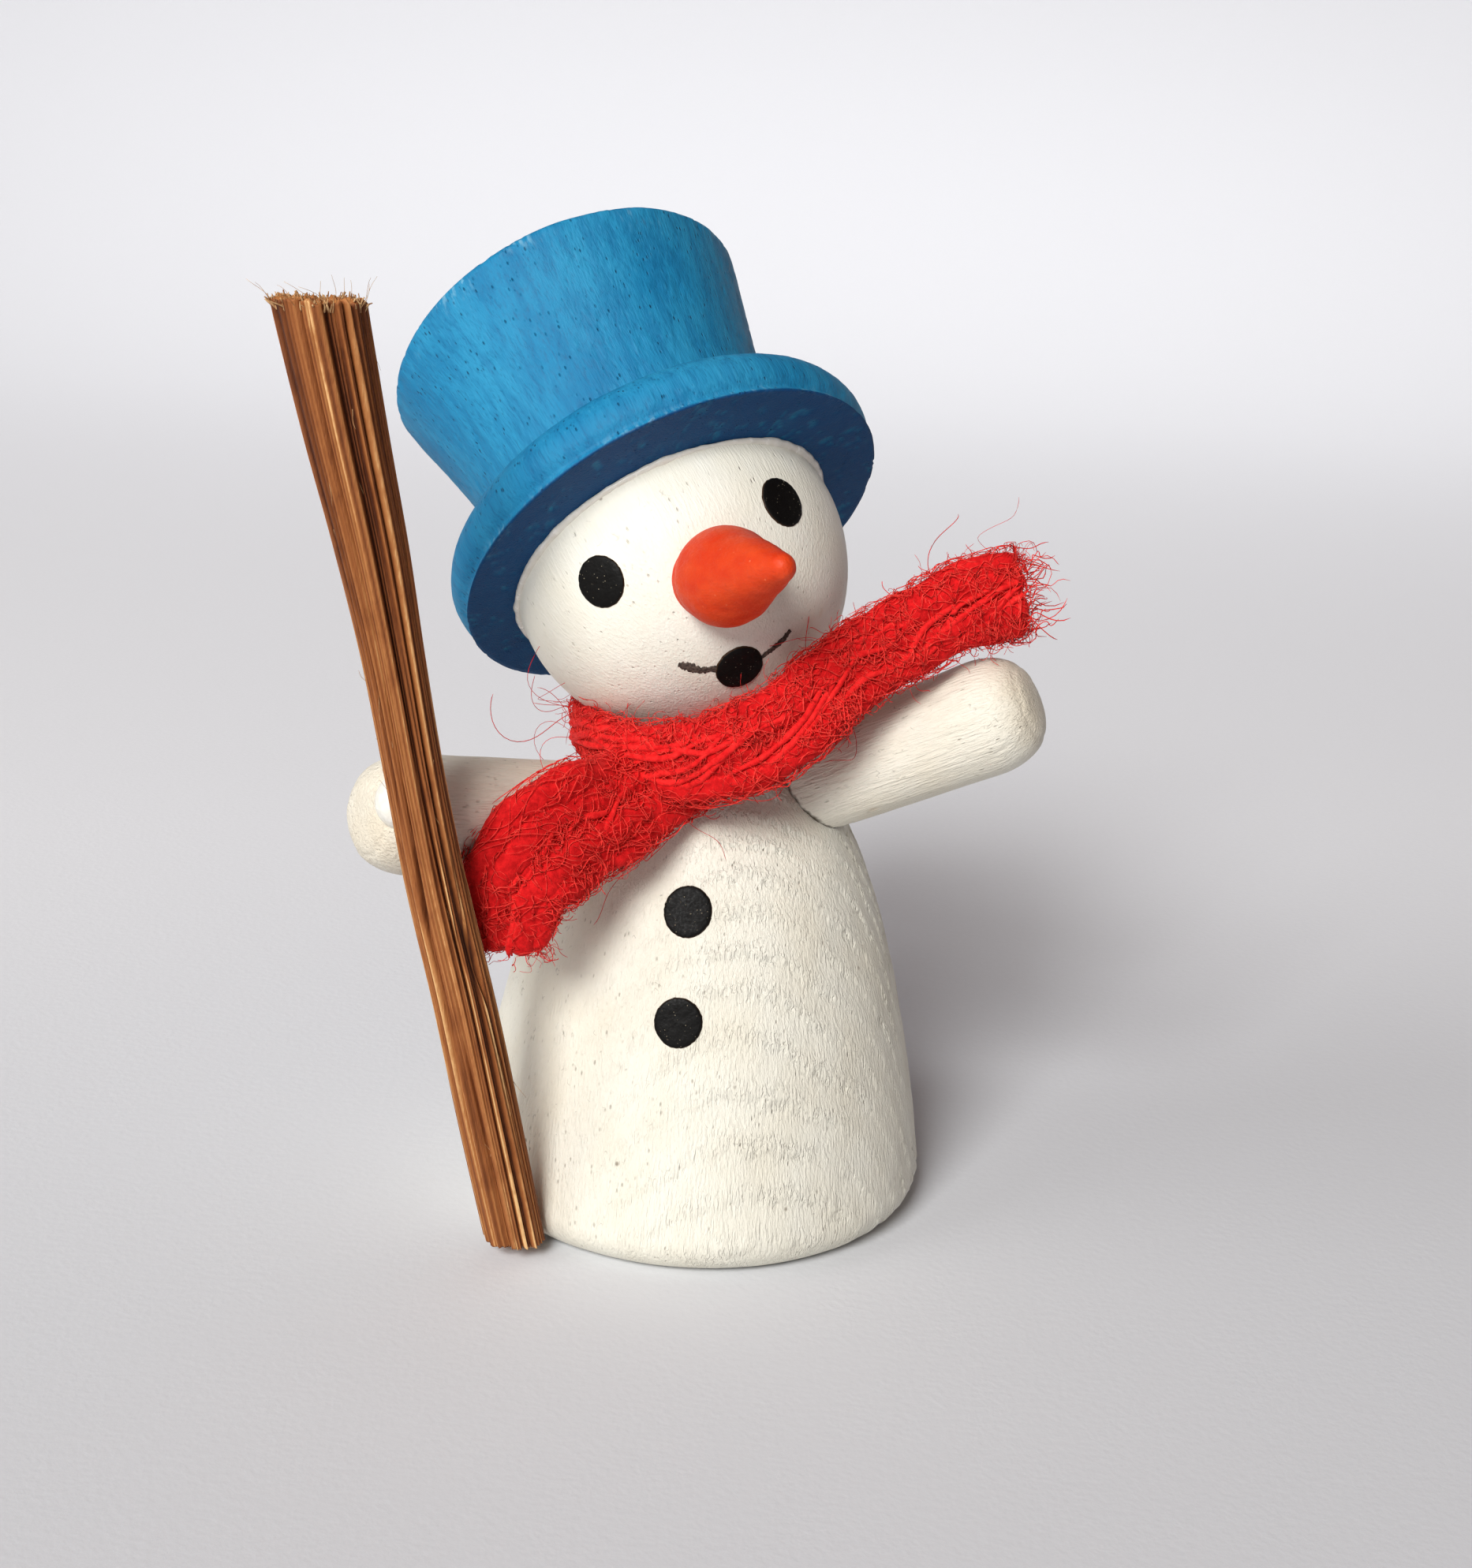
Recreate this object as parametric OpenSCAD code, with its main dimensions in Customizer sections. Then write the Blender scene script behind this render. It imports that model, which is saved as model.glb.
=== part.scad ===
// Wooden snowman figure: a turned bell-shaped body, a ball head with a turned top hat,
// two dowel arms, a fibre broom glued to one hand, and a woollen scarf round the neck.
// Origin: centre of the flat base. +Z up, the figure's front faces -Y.

/* [Body] */
// Widest diameter of the body, just above the base
body_d = 28.6; // [27:0.1:31]
// Height of the body from the base to its crown
body_h = 29.6; // [29:0.1:30.4]
// Radius of the rounded bottom edge
base_round = 2.2; // [0.5:0.1:2.5]

/* [Head] */
// Diameter of the head ball
head_d = 20; // [19.6:0.1:20.6]
// Centre of the head, a little off the body's axis as it was glued
head_pos = [-2.6, -0.2, 39.4];
// Turn of the head: tipped back, leaned to one side, then turned
head_turn = [-43, -24, 22];
// Height above the head's centre at which the ball is cut flat under the hat
head_cut = 1.6; // [1:0.1:2.5]

/* [Hat] */
// Radius of the brim's lower edge
brim_r = 13.4; // [12.5:0.1:15]
// Thickness of the brim
brim_t = 3.5; // [3:0.1:4]
// Radius of the crown where it leaves the brim
waist_r = 9.3; // [8.5:0.1:10.5]
// Radius of the crown's top edge
crown_r = 11.5; // [10.5:0.1:12.5]
// Height of the whole hat
hat_h = 16.3; // [14:0.1:19]
// How far the hat sits off the head's axis, to the side and to the front
hat_shift = [0.4, -0.6];

/* [Face] */
// Diameter of the eyes, the mouth and the buttons
dot_d = 3; // [2:0.1:3.6]
// Thickness of the eyes, the mouth and the buttons
dot_t = 0.2; // [0.1:0.05:0.3]
// Turn of each eye from the face's middle, in degrees
eye_side = 36; // [28:1:42]
// Height of the eyes on the ball, in degrees
eye_rise = -16; // [-22:1:-10]
// Radius of the nose at its widest
nose_r = 2.85; // [2.4:0.05:3.2]
// Length of the nose outside the head
nose_l = 9; // [6:0.1:11]

/* [Arms] */
// Diameter of the arm dowels near the hand
arm_d = 6.9; // [6:0.1:7]
// Length from the body's axis to the tip of the right-hand side's arm
arm_right_l = 21.7; // [18:0.1:24]
// Length from the body's axis to the tip of the left-hand side's arm
arm_left_l = 24.3; // [24:0.1:25]
// Height at which the arms meet the body's axis
arm_z = 24.1; // [23.5:0.1:24.3]

/* [Buttons] */
// Height of the lower button
button_low_z = 15.1; // [12:0.1:16.5]
// Height of the upper button
button_high_z = 21.2; // [19.8:0.1:22]

/* [Broom] */
// Height of the broom's top
broom_top = 55.4; // [50:0.1:60]
// Number of ribs round the broom
broom_ribs = 11; // [7:1:13]

/* [Scarf] */
// Width of the scarf where it lies over the crossing
scarf_w = 4.6; // [3.8:0.1:4.9]
// Thickness of the scarf
scarf_t = 1.9; // [1.4:0.1:2.1]

/* [Hidden] */
$fn = 64;

body_r = body_d / 2;
head_r = head_d / 2;
arm_r = arm_d / 2;
dot_r = dot_d / 2;
seat_r = sqrt(head_r * head_r - head_cut * head_cut);

// Where the body's side ends in the small flat under the head
crown_flat_r = 3;
// The two handles of the curve that the body's side follows
side_low = [0.78 * body_r, 0.85 * body_h];
side_high = [0.36 * body_r, body_h];

// The arms: height angle, forward angle, the depth to which their sockets are drilled, and the
// radius to which they narrow there
arm_right_rise = 26.8;
arm_right_forward = 10;
arm_left_rise = 8;
arm_left_forward = 43;
socket_start = 4.6;
arm_root_r = 3.15;
arm_round = 3.4;

// The face, as turn and height on the ball, in degrees
nose_at = [1, -35];
nose_points = [17, -32];
nose_peg_r = 1;
nose_peg_l = 2.6;
mouth_at = [-5, -67.5];
mouth_line_r = 0.19;
mouth_left_line = [[-34, -55], [-28, -60.5], [-19, -66]];
mouth_right_line = [[16, -66.5], [27, -64.5], [38, -59.5]];

// The broom: height, middle and half widths across the front and from front to back
broom_stations = [
    [0.9, [-9.05, -12.8], [1.55, 1.4]],
    [9.7, [-10.4, -14.8], [1.6, 1.45]],
    [17.2, [-11.5, -16.6], [1.55, 1.4]],
    [24.2, [-12.7, -18.2], [1.5, 1.35]],
    [30.9, [-13.6, -19.8], [1.4, 1.3]],
    [37.3, [-14.4, -21.2], [1.45, 1.3]],
    [43.3, [-15.2, -22.6], [1.7, 1.5]],
    [49, [-16.1, -23.9], [1.9, 1.65]],
    [broom_top, [-17, -25.4], [2.1, 1.8]]
];
rib_depth = 0.1;

hand_glue_at = [-14.9, -17, 28.6];
hand_glue_r = 1.6;

// The scarf's route, from the tail at the broom, under the crossing in front, round the
// neck over the raised arm, back over the crossing and out along the raised arm
scarf_route = [
    [-9.3, -14.9, 19.8],
    [-9.3, -15.2, 21.6],
    [-8.9, -15.2, 23.7],
    [-7.9, -14.6, 25.4],
    [-6.4, -13.3, 26.6],
    [-4.7, -11.7, 27.3],
    [-3.1, -9.8, 28.1],
    [-1.3, -8.4, 29],
    [0.6, -7.6, 30],
    [2.5, -7, 31],
    [4.8, -5.7, 31.9],
    [6.5, -3, 32.4],
    [6.8, 0.2, 31.6],
    [5.8, 3.2, 30.2],
    [3.6, 5.6, 29],
    [0.4, 6.7, 28.5],
    [-3, 6.2, 28.4],
    [-5.8, 4.2, 28.6],
    [-7.4, 1.2, 29.1],
    [-7.8, -2, 29.5],
    [-6.8, -4.9, 29.8],
    [-5.1, -7.5, 29.9],
    [-2.8, -9.4, 30.1],
    [-0.5, -10.3, 30.3],
    [1.7, -10.4, 30.9],
    [3.8, -9.9, 31.8],
    [5.7, -9, 33.2],
    [7.1, -8, 34.6],
    [8.8, -6.8, 35.9],
    [10.6, -5.8, 37.1],
    [12.4, -5, 38.1],
    [14.3, -4.2, 39.2],
    [16.2, -3.7, 39.8],
    [17.8, -3.2, 40.1]
];
// The way each of those points of the scarf faces
scarf_faces = [
    [-0.1, -1, 0.2],
    [0, -1, 0.15],
    [0.1, -1, 0.05],
    [0.15, -1, 0],
    [0.1, -1, 0.05],
    [0, -1, 0.15],
    [0, -1, 0.25],
    [-0.1, -1, 0.2],
    [0, -1, 0.2],
    [0.2, -1, 0.2],
    [0.4, -0.8, 0.7],
    [0.6, -0.2, 1],
    [0.8, 0, 0.9],
    [0.9, 0.4, 0.4],
    [0.6, 0.8, 0.1],
    [0.1, 1, 0],
    [-0.4, 0.9, -0.1],
    [-0.8, 0.6, -0.2],
    [-1, 0.1, -0.3],
    [-1, -0.2, -0.3],
    [-0.9, -0.5, -0.2],
    [-0.6, -0.8, -0.1],
    [-0.2, -1, 0],
    [0, -1, 0.1],
    [0, -1, 0.1],
    [0, -1, 0.1],
    [0, -1, 0.1],
    [0, -1, 0.1],
    [0, -1, 0.1],
    [0, -1, 0.1],
    [0, -1, 0.1],
    [0, -1, 0.1],
    [0, -1, 0.1],
    [0, -1, 0.1]
];
// The scarf's width at each of those points, against its width over the crossing
scarf_spread = [0.95, 1.08, 1.22, 1.34, 1.36, 1.28, 1.13, 0.98, 0.9, 0.86, 0.86, 0.86, 0.86, 0.86,
    0.86, 0.86, 0.84, 0.82, 0.8, 0.78, 0.78, 0.8, 0.86, 0.92, 0.98, 1.02, 1, 0.97, 0.97, 1, 1.03,
    1.05, 1.08, 1.06];
scarf_sides = 10;

// A point of a cubic curve with end points a and d and handles b and c
function curve_point(a, b, c, d, t) =
    pow(1 - t, 3) * a + 3 * pow(1 - t, 2) * t * b + 3 * (1 - t) * t * t * c + pow(t, 3) * d;

// Points of an arc, as a list
function arc_points(centre, r, from, to, steps) =
    [for (i = [0:steps]) let (a = from + (to - from) * i / steps)
        centre + r * [cos(a), sin(a)]];

// A unit vector, and the part of v that is square to the unit vector t
function unit(v) = v / norm(v);
function square_to(v, t) = v - (v * t) * t;

// Half of the body's outline, grown outwards by extra
function body_outline(extra) = concat(
    [[0, -extra], [body_r - base_round, -extra]],
    arc_points([body_r - base_round, base_round], base_round + extra, -80, 0, 8),
    [for (i = [1:24]) curve_point([body_r, base_round] + [extra, 0], side_low + [extra, extra / 2],
        side_high + [extra / 2, extra], [crown_flat_r, body_h + extra], i / 24)],
    [[0, body_h + extra]]
);

// Half of the hat's outline: underside, rounded brim, groove, flaring crown, eased top edge
function hat_outline() = concat(
    [[0, 0], [brim_r, 0]],
    arc_points([brim_r - 1.9, brim_t - 1.9], 2.1, -35, 78, 8),
    [[waist_r + 0.5, brim_t]],
    [for (i = [0:12]) curve_point([waist_r, brim_t + 0.3], [waist_r - 0.1, 0.45 * hat_h],
        [crown_r - 1, 0.7 * hat_h], [crown_r, hat_h - 0.5], i / 12)],
    arc_points([crown_r - 0.5, hat_h - 0.5], 0.5, 20, 90, 3),
    [[0, hat_h]]
);

// Half of the nose's outline: a rounded base and a cone with a blunt tip
nose_tip_r = 0.55;
function nose_outline() = concat(
    [[0, -1.4], [nose_r - 0.5, -1.4]],
    [for (i = [0:8]) curve_point([nose_r - 0.5, -0.2], [nose_r + 0.15, 0.6],
        [nose_r + 0.1, 2], [nose_r - 0.5, 3.1], i / 8)],
    arc_points([0, nose_l - nose_tip_r], nose_tip_r, 22, 90, 5)
);

// Half of an arm's outline: a dowel that swells a little towards its well-rounded tip
function arm_outline(length) = concat(
    [[0, socket_start], [arm_root_r, socket_start]],
    [for (i = [0:14]) let (a = 90 * i / 14)
        [arm_r * pow(cos(a), 0.6), length - arm_round + arm_round * sin(a)]]
);

// Places its children on the head, in the head's own turn
module on_head() {
    translate(head_pos) rotate(head_turn) children();
}

// Places its children on the ball's surface, with +Z square to it
module on_face(turn, rise) {
    on_head() rotate([0, 0, turn]) rotate([90 - rise, 0, 0]) children();
}

// Places its children at the body's axis with +Z along an arm, side 1 or -1
module along_arm(side, rise, forward) {
    translate([0, 0, arm_z]) rotate([0, 0, -side * forward]) rotate([0, side * (90 - rise), 0]) children();
}

module arm_solid(length) {
    rotate_extrude() polygon(arm_outline(length));
}

module head_ball(extra) {
    translate(head_pos) sphere(r = head_r + extra, $fn = 96);
}

module body_solid(extra) {
    rotate_extrude($fn = 96) polygon(body_outline(extra));
}

// A thin dot that follows the ball's surface
module face_dot(turn, rise) {
    intersection() {
        difference() {
            head_ball(dot_t);
            head_ball(0);
        }
        on_face(turn, rise) cylinder(r = dot_r, h = head_r + 2, $fn = 48);
    }
}

// A thin dot that follows the body's surface
module body_dot(z) {
    intersection() {
        difference() {
            body_solid(dot_t);
            body_solid(0);
        }
        translate([0, 0, z]) rotate([90, 0, 0]) cylinder(r = dot_r, h = body_r + 2, $fn = 48);
    }
}

// A drawn line on the ball, as short straight strokes through the given places
module face_line(places) {
    intersection() {
        difference() {
            head_ball(0.08);
            head_ball(0);
        }
        union() {
            for (i = [0:len(places) - 2]) face_stroke(places[i], places[i + 1]);
        }
    }
}

// One straight stroke between two places on the ball, as a slab through its centre
module face_stroke(from, to) {
    a = face_way(from);
    b = face_way(to);
    across = unit(cross(a, b));
    on_head() multmatrix([
        [a[0], cross(across, a)[0], across[0], 0],
        [a[1], cross(across, a)[1], across[1], 0],
        [a[2], cross(across, a)[2], across[2], 0],
        [0, 0, 0, 1]
    ]) translate([head_r - 2, -mouth_line_r, -mouth_line_r])
        cube([3, head_r * sin(acos(a * b)) + 2 * mouth_line_r, 2 * mouth_line_r]);
}

// The unit vector from the ball's centre to a place given by turn and rise
function face_way(place) = [sin(place[0]) * cos(place[1]), -cos(place[0]) * cos(place[1]), sin(place[1])];

module nose_place() {
    on_head() translate(head_r * face_way(nose_at)) rotate([0, 0, nose_points[0]])
        rotate([90 - nose_points[1], 0, 0]) children();
}

module body() {
    color("whitesmoke") difference() {
        body_solid(0);
        head_ball(0);
        along_arm(1, arm_right_rise, arm_right_forward) arm_solid(arm_right_l);
        along_arm(-1, arm_left_rise, arm_left_forward) arm_solid(arm_left_l);
    }
}

module head() {
    color("white") difference() {
        head_ball(0);
        on_head() translate([0, 0, head_cut]) cylinder(r = head_r + 2, h = head_r);
        nose_place() translate([0, 0, -nose_peg_l]) cylinder(r = nose_peg_r, h = nose_peg_l + 2);
    }
}

module neck_glue() {
    color("gainsboro") difference() {
        translate([-1, 0, body_h - 1.4]) cylinder(r = 4.4, h = 2.3);
        head_ball(0);
        body_solid(0);
        along_arm(1, arm_right_rise, arm_right_forward) arm_solid(arm_right_l);
    }
}

module hat() {
    color("steelblue") on_head() translate([hat_shift[0], hat_shift[1], head_cut])
        rotate_extrude($fn = 96) polygon(hat_outline());
}

module hat_glue() {
    color("silver") difference() {
        on_head() difference() {
            translate([0, 0, head_cut]) rotate_extrude($fn = 72)
                translate([seat_r + 0.05, 0]) circle(r = 0.5, $fn = 16);
            translate([0, 0, head_cut]) cylinder(r = head_r + 3, h = 3);
        }
        head_ball(0);
    }
}

module nose() {
    color("orangered") union() {
        difference() {
            nose_place() rotate_extrude($fn = 48) polygon(nose_outline());
            head_ball(0);
        }
        nose_place() translate([0, 0, -nose_peg_l]) cylinder(r = nose_peg_r, h = nose_peg_l + 1);
    }
}

module eye_left() {
    color("black") face_dot(-eye_side, eye_rise);
}

module eye_right() {
    color("black") face_dot(eye_side, eye_rise);
}

module mouth_dot() {
    color("black") face_dot(mouth_at[0], mouth_at[1]);
}

module mouth_lines() {
    color("dimgray") difference() {
        union() {
            face_line(mouth_left_line);
            face_line(mouth_right_line);
        }
        on_face(mouth_at[0], mouth_at[1]) cylinder(r = dot_r, h = head_r + 2, $fn = 48);
    }
}

module button_upper() {
    color("black") body_dot(button_high_z);
}

module button_lower() {
    color("black") body_dot(button_low_z);
}

module arm_left() {
    color("linen") along_arm(-1, arm_left_rise, arm_left_forward) arm_solid(arm_left_l);
}

module arm_right() {
    color("linen") along_arm(1, arm_right_rise, arm_right_forward) arm_solid(arm_right_l);
}

// A ring of the broom: two points for each rib, at its crest and in the groove beside it
function broom_ring(station) =
    [for (i = [0:2 * broom_ribs - 1]) let (a = 180 * i / broom_ribs,
        grow = (i % 2 == 0) ? 1 : 1 - rib_depth)
        [station[1][0] + grow * station[2][0] * cos(a),
         station[1][1] + grow * station[2][1] * sin(a), station[0]]];

// Faces that join rings of the same number of points into one closed solid
function tube_faces(rings, sides) = concat(
    [[for (k = [0:sides - 1]) k]],
    [for (j = [0:rings - 2], k = [0:sides - 1])
        [j * sides + k, (j + 1) * sides + k, (j + 1) * sides + (k + 1) % sides,
            j * sides + (k + 1) % sides]],
    [[for (k = [0:sides - 1]) rings * sides - 1 - k]]
);

module broom() {
    rings = [for (station = broom_stations) broom_ring(station)];
    color("peru") polyhedron(
        points = [for (ring = rings) each ring],
        faces = tube_faces(len(rings), 2 * broom_ribs)
    );
}

module hand_glue() {
    color("silver") difference() {
        translate(hand_glue_at) sphere(r = hand_glue_r, $fn = 32);
        along_arm(-1, arm_left_rise, arm_left_forward) arm_solid(arm_left_l);
        broom();
    }
}

// The direction of a route at its point i
function way_at(route, i) = unit(route[min(i + 1, len(route) - 1)] - route[max(i - 1, 0)]);

// A flat oval ring of the scarf, square to its route
function scarf_ring(i) =
    let (
        way = way_at(scarf_route, i),
        face = unit(square_to(scarf_faces[i], way)),
        side = cross(way, face)
    )
    [for (k = [0:scarf_sides - 1]) let (a = 360 * k / scarf_sides)
        scarf_route[i] + 0.5 * scarf_spread[i] * scarf_w * cos(a) * side + 0.5 * scarf_t * sin(a) * face];

module scarf() {
    rings = [for (i = [0:len(scarf_route) - 1]) scarf_ring(i)];
    color("crimson") polyhedron(
        points = [for (ring = rings) each ring],
        faces = tube_faces(len(rings), scarf_sides)
    );
}

body();
head();
neck_glue();
hat();
hat_glue();
nose();
eye_left();
eye_right();
mouth_dot();
mouth_lines();
button_upper();
button_lower();
arm_left();
arm_right();
broom();
hand_glue();
scarf();
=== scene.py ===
"""Looks of the wooden snowman figure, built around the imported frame, in its own frame.

Sizes named in millimetres repeat those of the part's source; MM turns them into metres.
"""

import math

import bpy
import numpy as np
from mathutils import Matrix, Vector


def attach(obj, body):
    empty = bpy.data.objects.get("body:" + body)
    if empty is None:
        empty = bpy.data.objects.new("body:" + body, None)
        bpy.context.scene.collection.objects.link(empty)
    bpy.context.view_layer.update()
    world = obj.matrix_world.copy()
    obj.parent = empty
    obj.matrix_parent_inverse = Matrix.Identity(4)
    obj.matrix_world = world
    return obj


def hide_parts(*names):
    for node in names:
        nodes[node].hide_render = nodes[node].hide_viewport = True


MM = 0.001
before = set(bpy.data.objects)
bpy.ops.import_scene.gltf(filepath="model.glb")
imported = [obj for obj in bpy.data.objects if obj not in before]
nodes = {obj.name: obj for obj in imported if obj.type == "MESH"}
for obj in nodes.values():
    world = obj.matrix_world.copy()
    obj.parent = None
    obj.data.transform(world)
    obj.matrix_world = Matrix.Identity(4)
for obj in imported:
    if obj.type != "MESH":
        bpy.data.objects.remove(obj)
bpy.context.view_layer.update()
BODY = "root"

# The part's main sizes, in millimetres and degrees
BODY_R, BODY_H, BASE_ROUND, CROWN_FLAT_R = 14.3, 29.6, 2.2, 3.0
HEAD_R, HEAD_CUT = 10.0, 1.6
HEAD_POS, HEAD_TURN = (-2.6, -0.2, 39.4), (-43, -24, 22)
BRIM_R, BRIM_T, WAIST_R, CROWN_R, HAT_H = 13.4, 3.5, 9.3, 11.5, 16.3
HAT_SHIFT = (0.4, -0.6)
ARM_R, ARM_ROOT_R, ARM_Z, ARM_START, ARM_ROUND = 3.45, 3.15, 24.1, 4.6, 3.4
NOSE_R, NOSE_L = 2.85, 9.0
NOSE_AT, NOSE_POINTS = (1, -35), (17, -32)
DOT_R = 1.42
EYE_TALL = 1.06
EYE_SIDE, EYE_RISE = 36, -16
MOUTH_AT = (-5, -67.5)
# Each arm's side, rise and turn forward in degrees, length, and seed
ARMS = {"arm_right": (1, 26.8, 10, 21.7, 91), "arm_left": (-1, 8, 43, 24.3, 96)}
BUTTON_HEIGHTS = {"button_upper": 21.2, "button_lower": 15.1}

# The scarf: each station's place, the way it faces, and its width in millimetres
SCARF_T = 1.9
SCARF_W = 4.6
SCARF = [
    ((-9.3, -14.9, 19.8), (-0.1, -1, 0.2), 0.95),
    ((-9.3, -15.2, 21.6), (0, -1, 0.15), 1.08),
    ((-8.9, -15.2, 23.7), (0.1, -1, 0.05), 1.22),
    ((-7.9, -14.6, 25.4), (0.15, -1, 0), 1.34),
    ((-6.4, -13.3, 26.6), (0.1, -1, 0.05), 1.36),
    ((-4.7, -11.7, 27.3), (0, -1, 0.15), 1.28),
    ((-3.1, -9.8, 28.1), (0, -1, 0.25), 1.13),
    ((-1.3, -8.4, 29), (-0.1, -1, 0.2), 0.98),
    ((0.6, -7.6, 30), (0, -1, 0.2), 0.9),
    ((2.5, -7, 31), (0.2, -1, 0.2), 0.86),
    ((4.8, -5.7, 31.9), (0.4, -0.8, 0.7), 0.86),
    ((6.5, -3, 32.4), (0.6, -0.2, 1), 0.86),
    ((6.8, 0.2, 31.6), (0.8, 0, 0.9), 0.86),
    ((5.8, 3.2, 30.2), (0.9, 0.4, 0.4), 0.86),
    ((3.6, 5.6, 29), (0.6, 0.8, 0.1), 0.86),
    ((0.4, 6.7, 28.5), (0.1, 1, 0), 0.86),
    ((-3, 6.2, 28.4), (-0.4, 0.9, -0.1), 0.84),
    ((-5.8, 4.2, 28.6), (-0.8, 0.6, -0.2), 0.82),
    ((-7.4, 1.2, 29.1), (-1, 0.1, -0.3), 0.8),
    ((-7.8, -2, 29.5), (-1, -0.2, -0.3), 0.78),
    ((-6.8, -4.9, 29.8), (-0.9, -0.5, -0.2), 0.78),
    ((-5.1, -7.5, 29.9), (-0.6, -0.8, -0.1), 0.8),
    ((-2.8, -9.4, 30.1), (-0.2, -1, 0), 0.86),
    ((-0.5, -10.3, 30.3), (0, -1, 0.1), 0.92),
    ((1.7, -10.4, 30.9), (0, -1, 0.1), 0.98),
    ((3.8, -9.9, 31.8), (0, -1, 0.1), 1.02),
    ((5.7, -9, 33.2), (0, -1, 0.1), 1),
    ((7.1, -8, 34.6), (0, -1, 0.1), 0.97),
    ((8.8, -6.8, 35.9), (0, -1, 0.1), 0.97),
    ((10.6, -5.8, 37.1), (0, -1, 0.1), 1),
    ((12.4, -5, 38.1), (0, -1, 0.1), 1.03),
    ((14.3, -4.2, 39.2), (0, -1, 0.1), 1.05),
    ((16.2, -3.7, 39.8), (0, -1, 0.1), 1.08),
    ((17.8, -3.2, 40.1), (0, -1, 0.1), 1.06),
]

# The broom: each station's height, middle, and half widths
BROOM = [
    (0.9, (-9.05, -12.8), (1.55, 1.4)),
    (9.7, (-10.4, -14.8), (1.6, 1.45)),
    (17.2, (-11.5, -16.6), (1.55, 1.4)),
    (24.2, (-12.7, -18.2), (1.5, 1.35)),
    (30.9, (-13.6, -19.8), (1.4, 1.3)),
    (37.3, (-14.4, -21.2), (1.45, 1.3)),
    (43.3, (-15.2, -22.6), (1.7, 1.5)),
    (49, (-16.1, -23.9), (1.9, 1.65)),
    (55.4, (-17, -25.4), (2.1, 1.8)),
]

scene = bpy.context.scene


# ---------------------------------------------------------------- camera


def make_camera():
    """The photographed view: slightly above the figure, a little from its right, rolled a touch."""
    data = bpy.data.cameras.new("camera")
    data.lens = 48.9
    data.sensor_width = 36
    data.clip_start, data.clip_end = 0.005, 20
    camera = bpy.data.objects.new("camera", data)
    scene.collection.objects.link(camera)
    turn = (
        Matrix.Rotation(math.radians(5.98), 4, "Z")
        @ Matrix.Rotation(math.radians(90 - 15.58), 4, "X")
        @ Matrix.Rotation(math.radians(3.05), 4, "Z")
    )
    camera.matrix_world = Matrix.Translation((0.01453, -0.12556, 0.06155)) @ turn
    scene.camera = camera


# ---------------------------------------------------------------- mesh helpers


def lattice_noise(points, seed):
    """Smooth noise from -1 to 1 at each point: random values on a unit lattice, blended."""
    table = np.random.default_rng(seed).uniform(-1, 1, 8192)
    cell = np.floor(points).astype(np.int64)
    part = points - cell
    part = part * part * (3 - 2 * part)
    total = np.zeros(len(points))
    for corner in range(8):
        step = np.array([corner & 1, corner >> 1 & 1, corner >> 2 & 1])
        at = cell + step
        key = at[:, 0] * 73856093 ^ at[:, 1] * 19349663 ^ at[:, 2] * 83492791
        weight = np.prod(np.where(step, part, 1 - part), axis=1)
        total += weight * table[key & 8191]
    return total


def layered_noise(points, seed, layers=3):
    """Several layers of lattice noise, each half as large and half as strong as the last."""
    total = np.zeros(len(points))
    for i in range(layers):
        total += lattice_noise(points * 2**i, seed + i) / 2**i
    return total


def smooth_step(low, high, value):
    part = np.clip((value - low) / (high - low), 0, 1)
    return part * part * (3 - 2 * part)


def mesh_piece(name, points, polygons, material, place=None, replaces=()):
    """A piece of the object, from points in millimetres and (count, corners) arrays of polygons."""
    mesh = bpy.data.meshes.new(name)
    mesh.vertices.add(len(points))
    mesh.vertices.foreach_set("co", (np.asarray(points) * MM).astype(np.float32).ravel())
    corners = np.concatenate([p.ravel() for p in polygons]).astype(np.int32)
    sizes = np.concatenate([np.full(len(p), p.shape[1]) for p in polygons])
    starts = np.concatenate(([0], np.cumsum(sizes)[:-1])).astype(np.int32)
    mesh.loops.add(len(corners))
    mesh.loops.foreach_set("vertex_index", corners)
    mesh.polygons.add(len(sizes))
    mesh.polygons.foreach_set("loop_start", starts)
    mesh.polygons.foreach_set("use_smooth", np.ones(len(sizes), bool))
    mesh.update(calc_edges=True)
    mesh.materials.append(material)
    piece = bpy.data.objects.new(name, mesh)
    scene.collection.objects.link(piece)
    if place is not None:
        piece.matrix_world = place
    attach(piece, BODY)
    if replaces:
        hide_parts(*replaces)
    return piece


def dense(outline, step):
    """The outline with points added until none are more than step apart."""
    line = [np.array(outline[0], float)]
    for a, b in zip(outline, outline[1:]):
        a, b = np.array(a, float), np.array(b, float)
        count = max(1, math.ceil(np.linalg.norm(b - a) / step))
        line += [a + (b - a) * i / count for i in range(1, count + 1)]
    return np.array(line)


def circle(count):
    angle = 2 * math.pi * np.arange(count) / count
    return np.stack([np.cos(angle), np.sin(angle)], 1)


def bands(low, high):
    """Four-cornered faces between rings of point numbers and the next rings of them."""
    corners = [low, np.roll(low, -1, -1), np.roll(high, -1, -1), high]
    return np.stack(corners, -1).reshape(-1, 4)


def fan(centre, ring):
    """Triangles between one point and a ring of them, all by number."""
    return np.stack([np.full(len(ring), centre), ring, np.roll(ring, -1)], 1)


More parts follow.
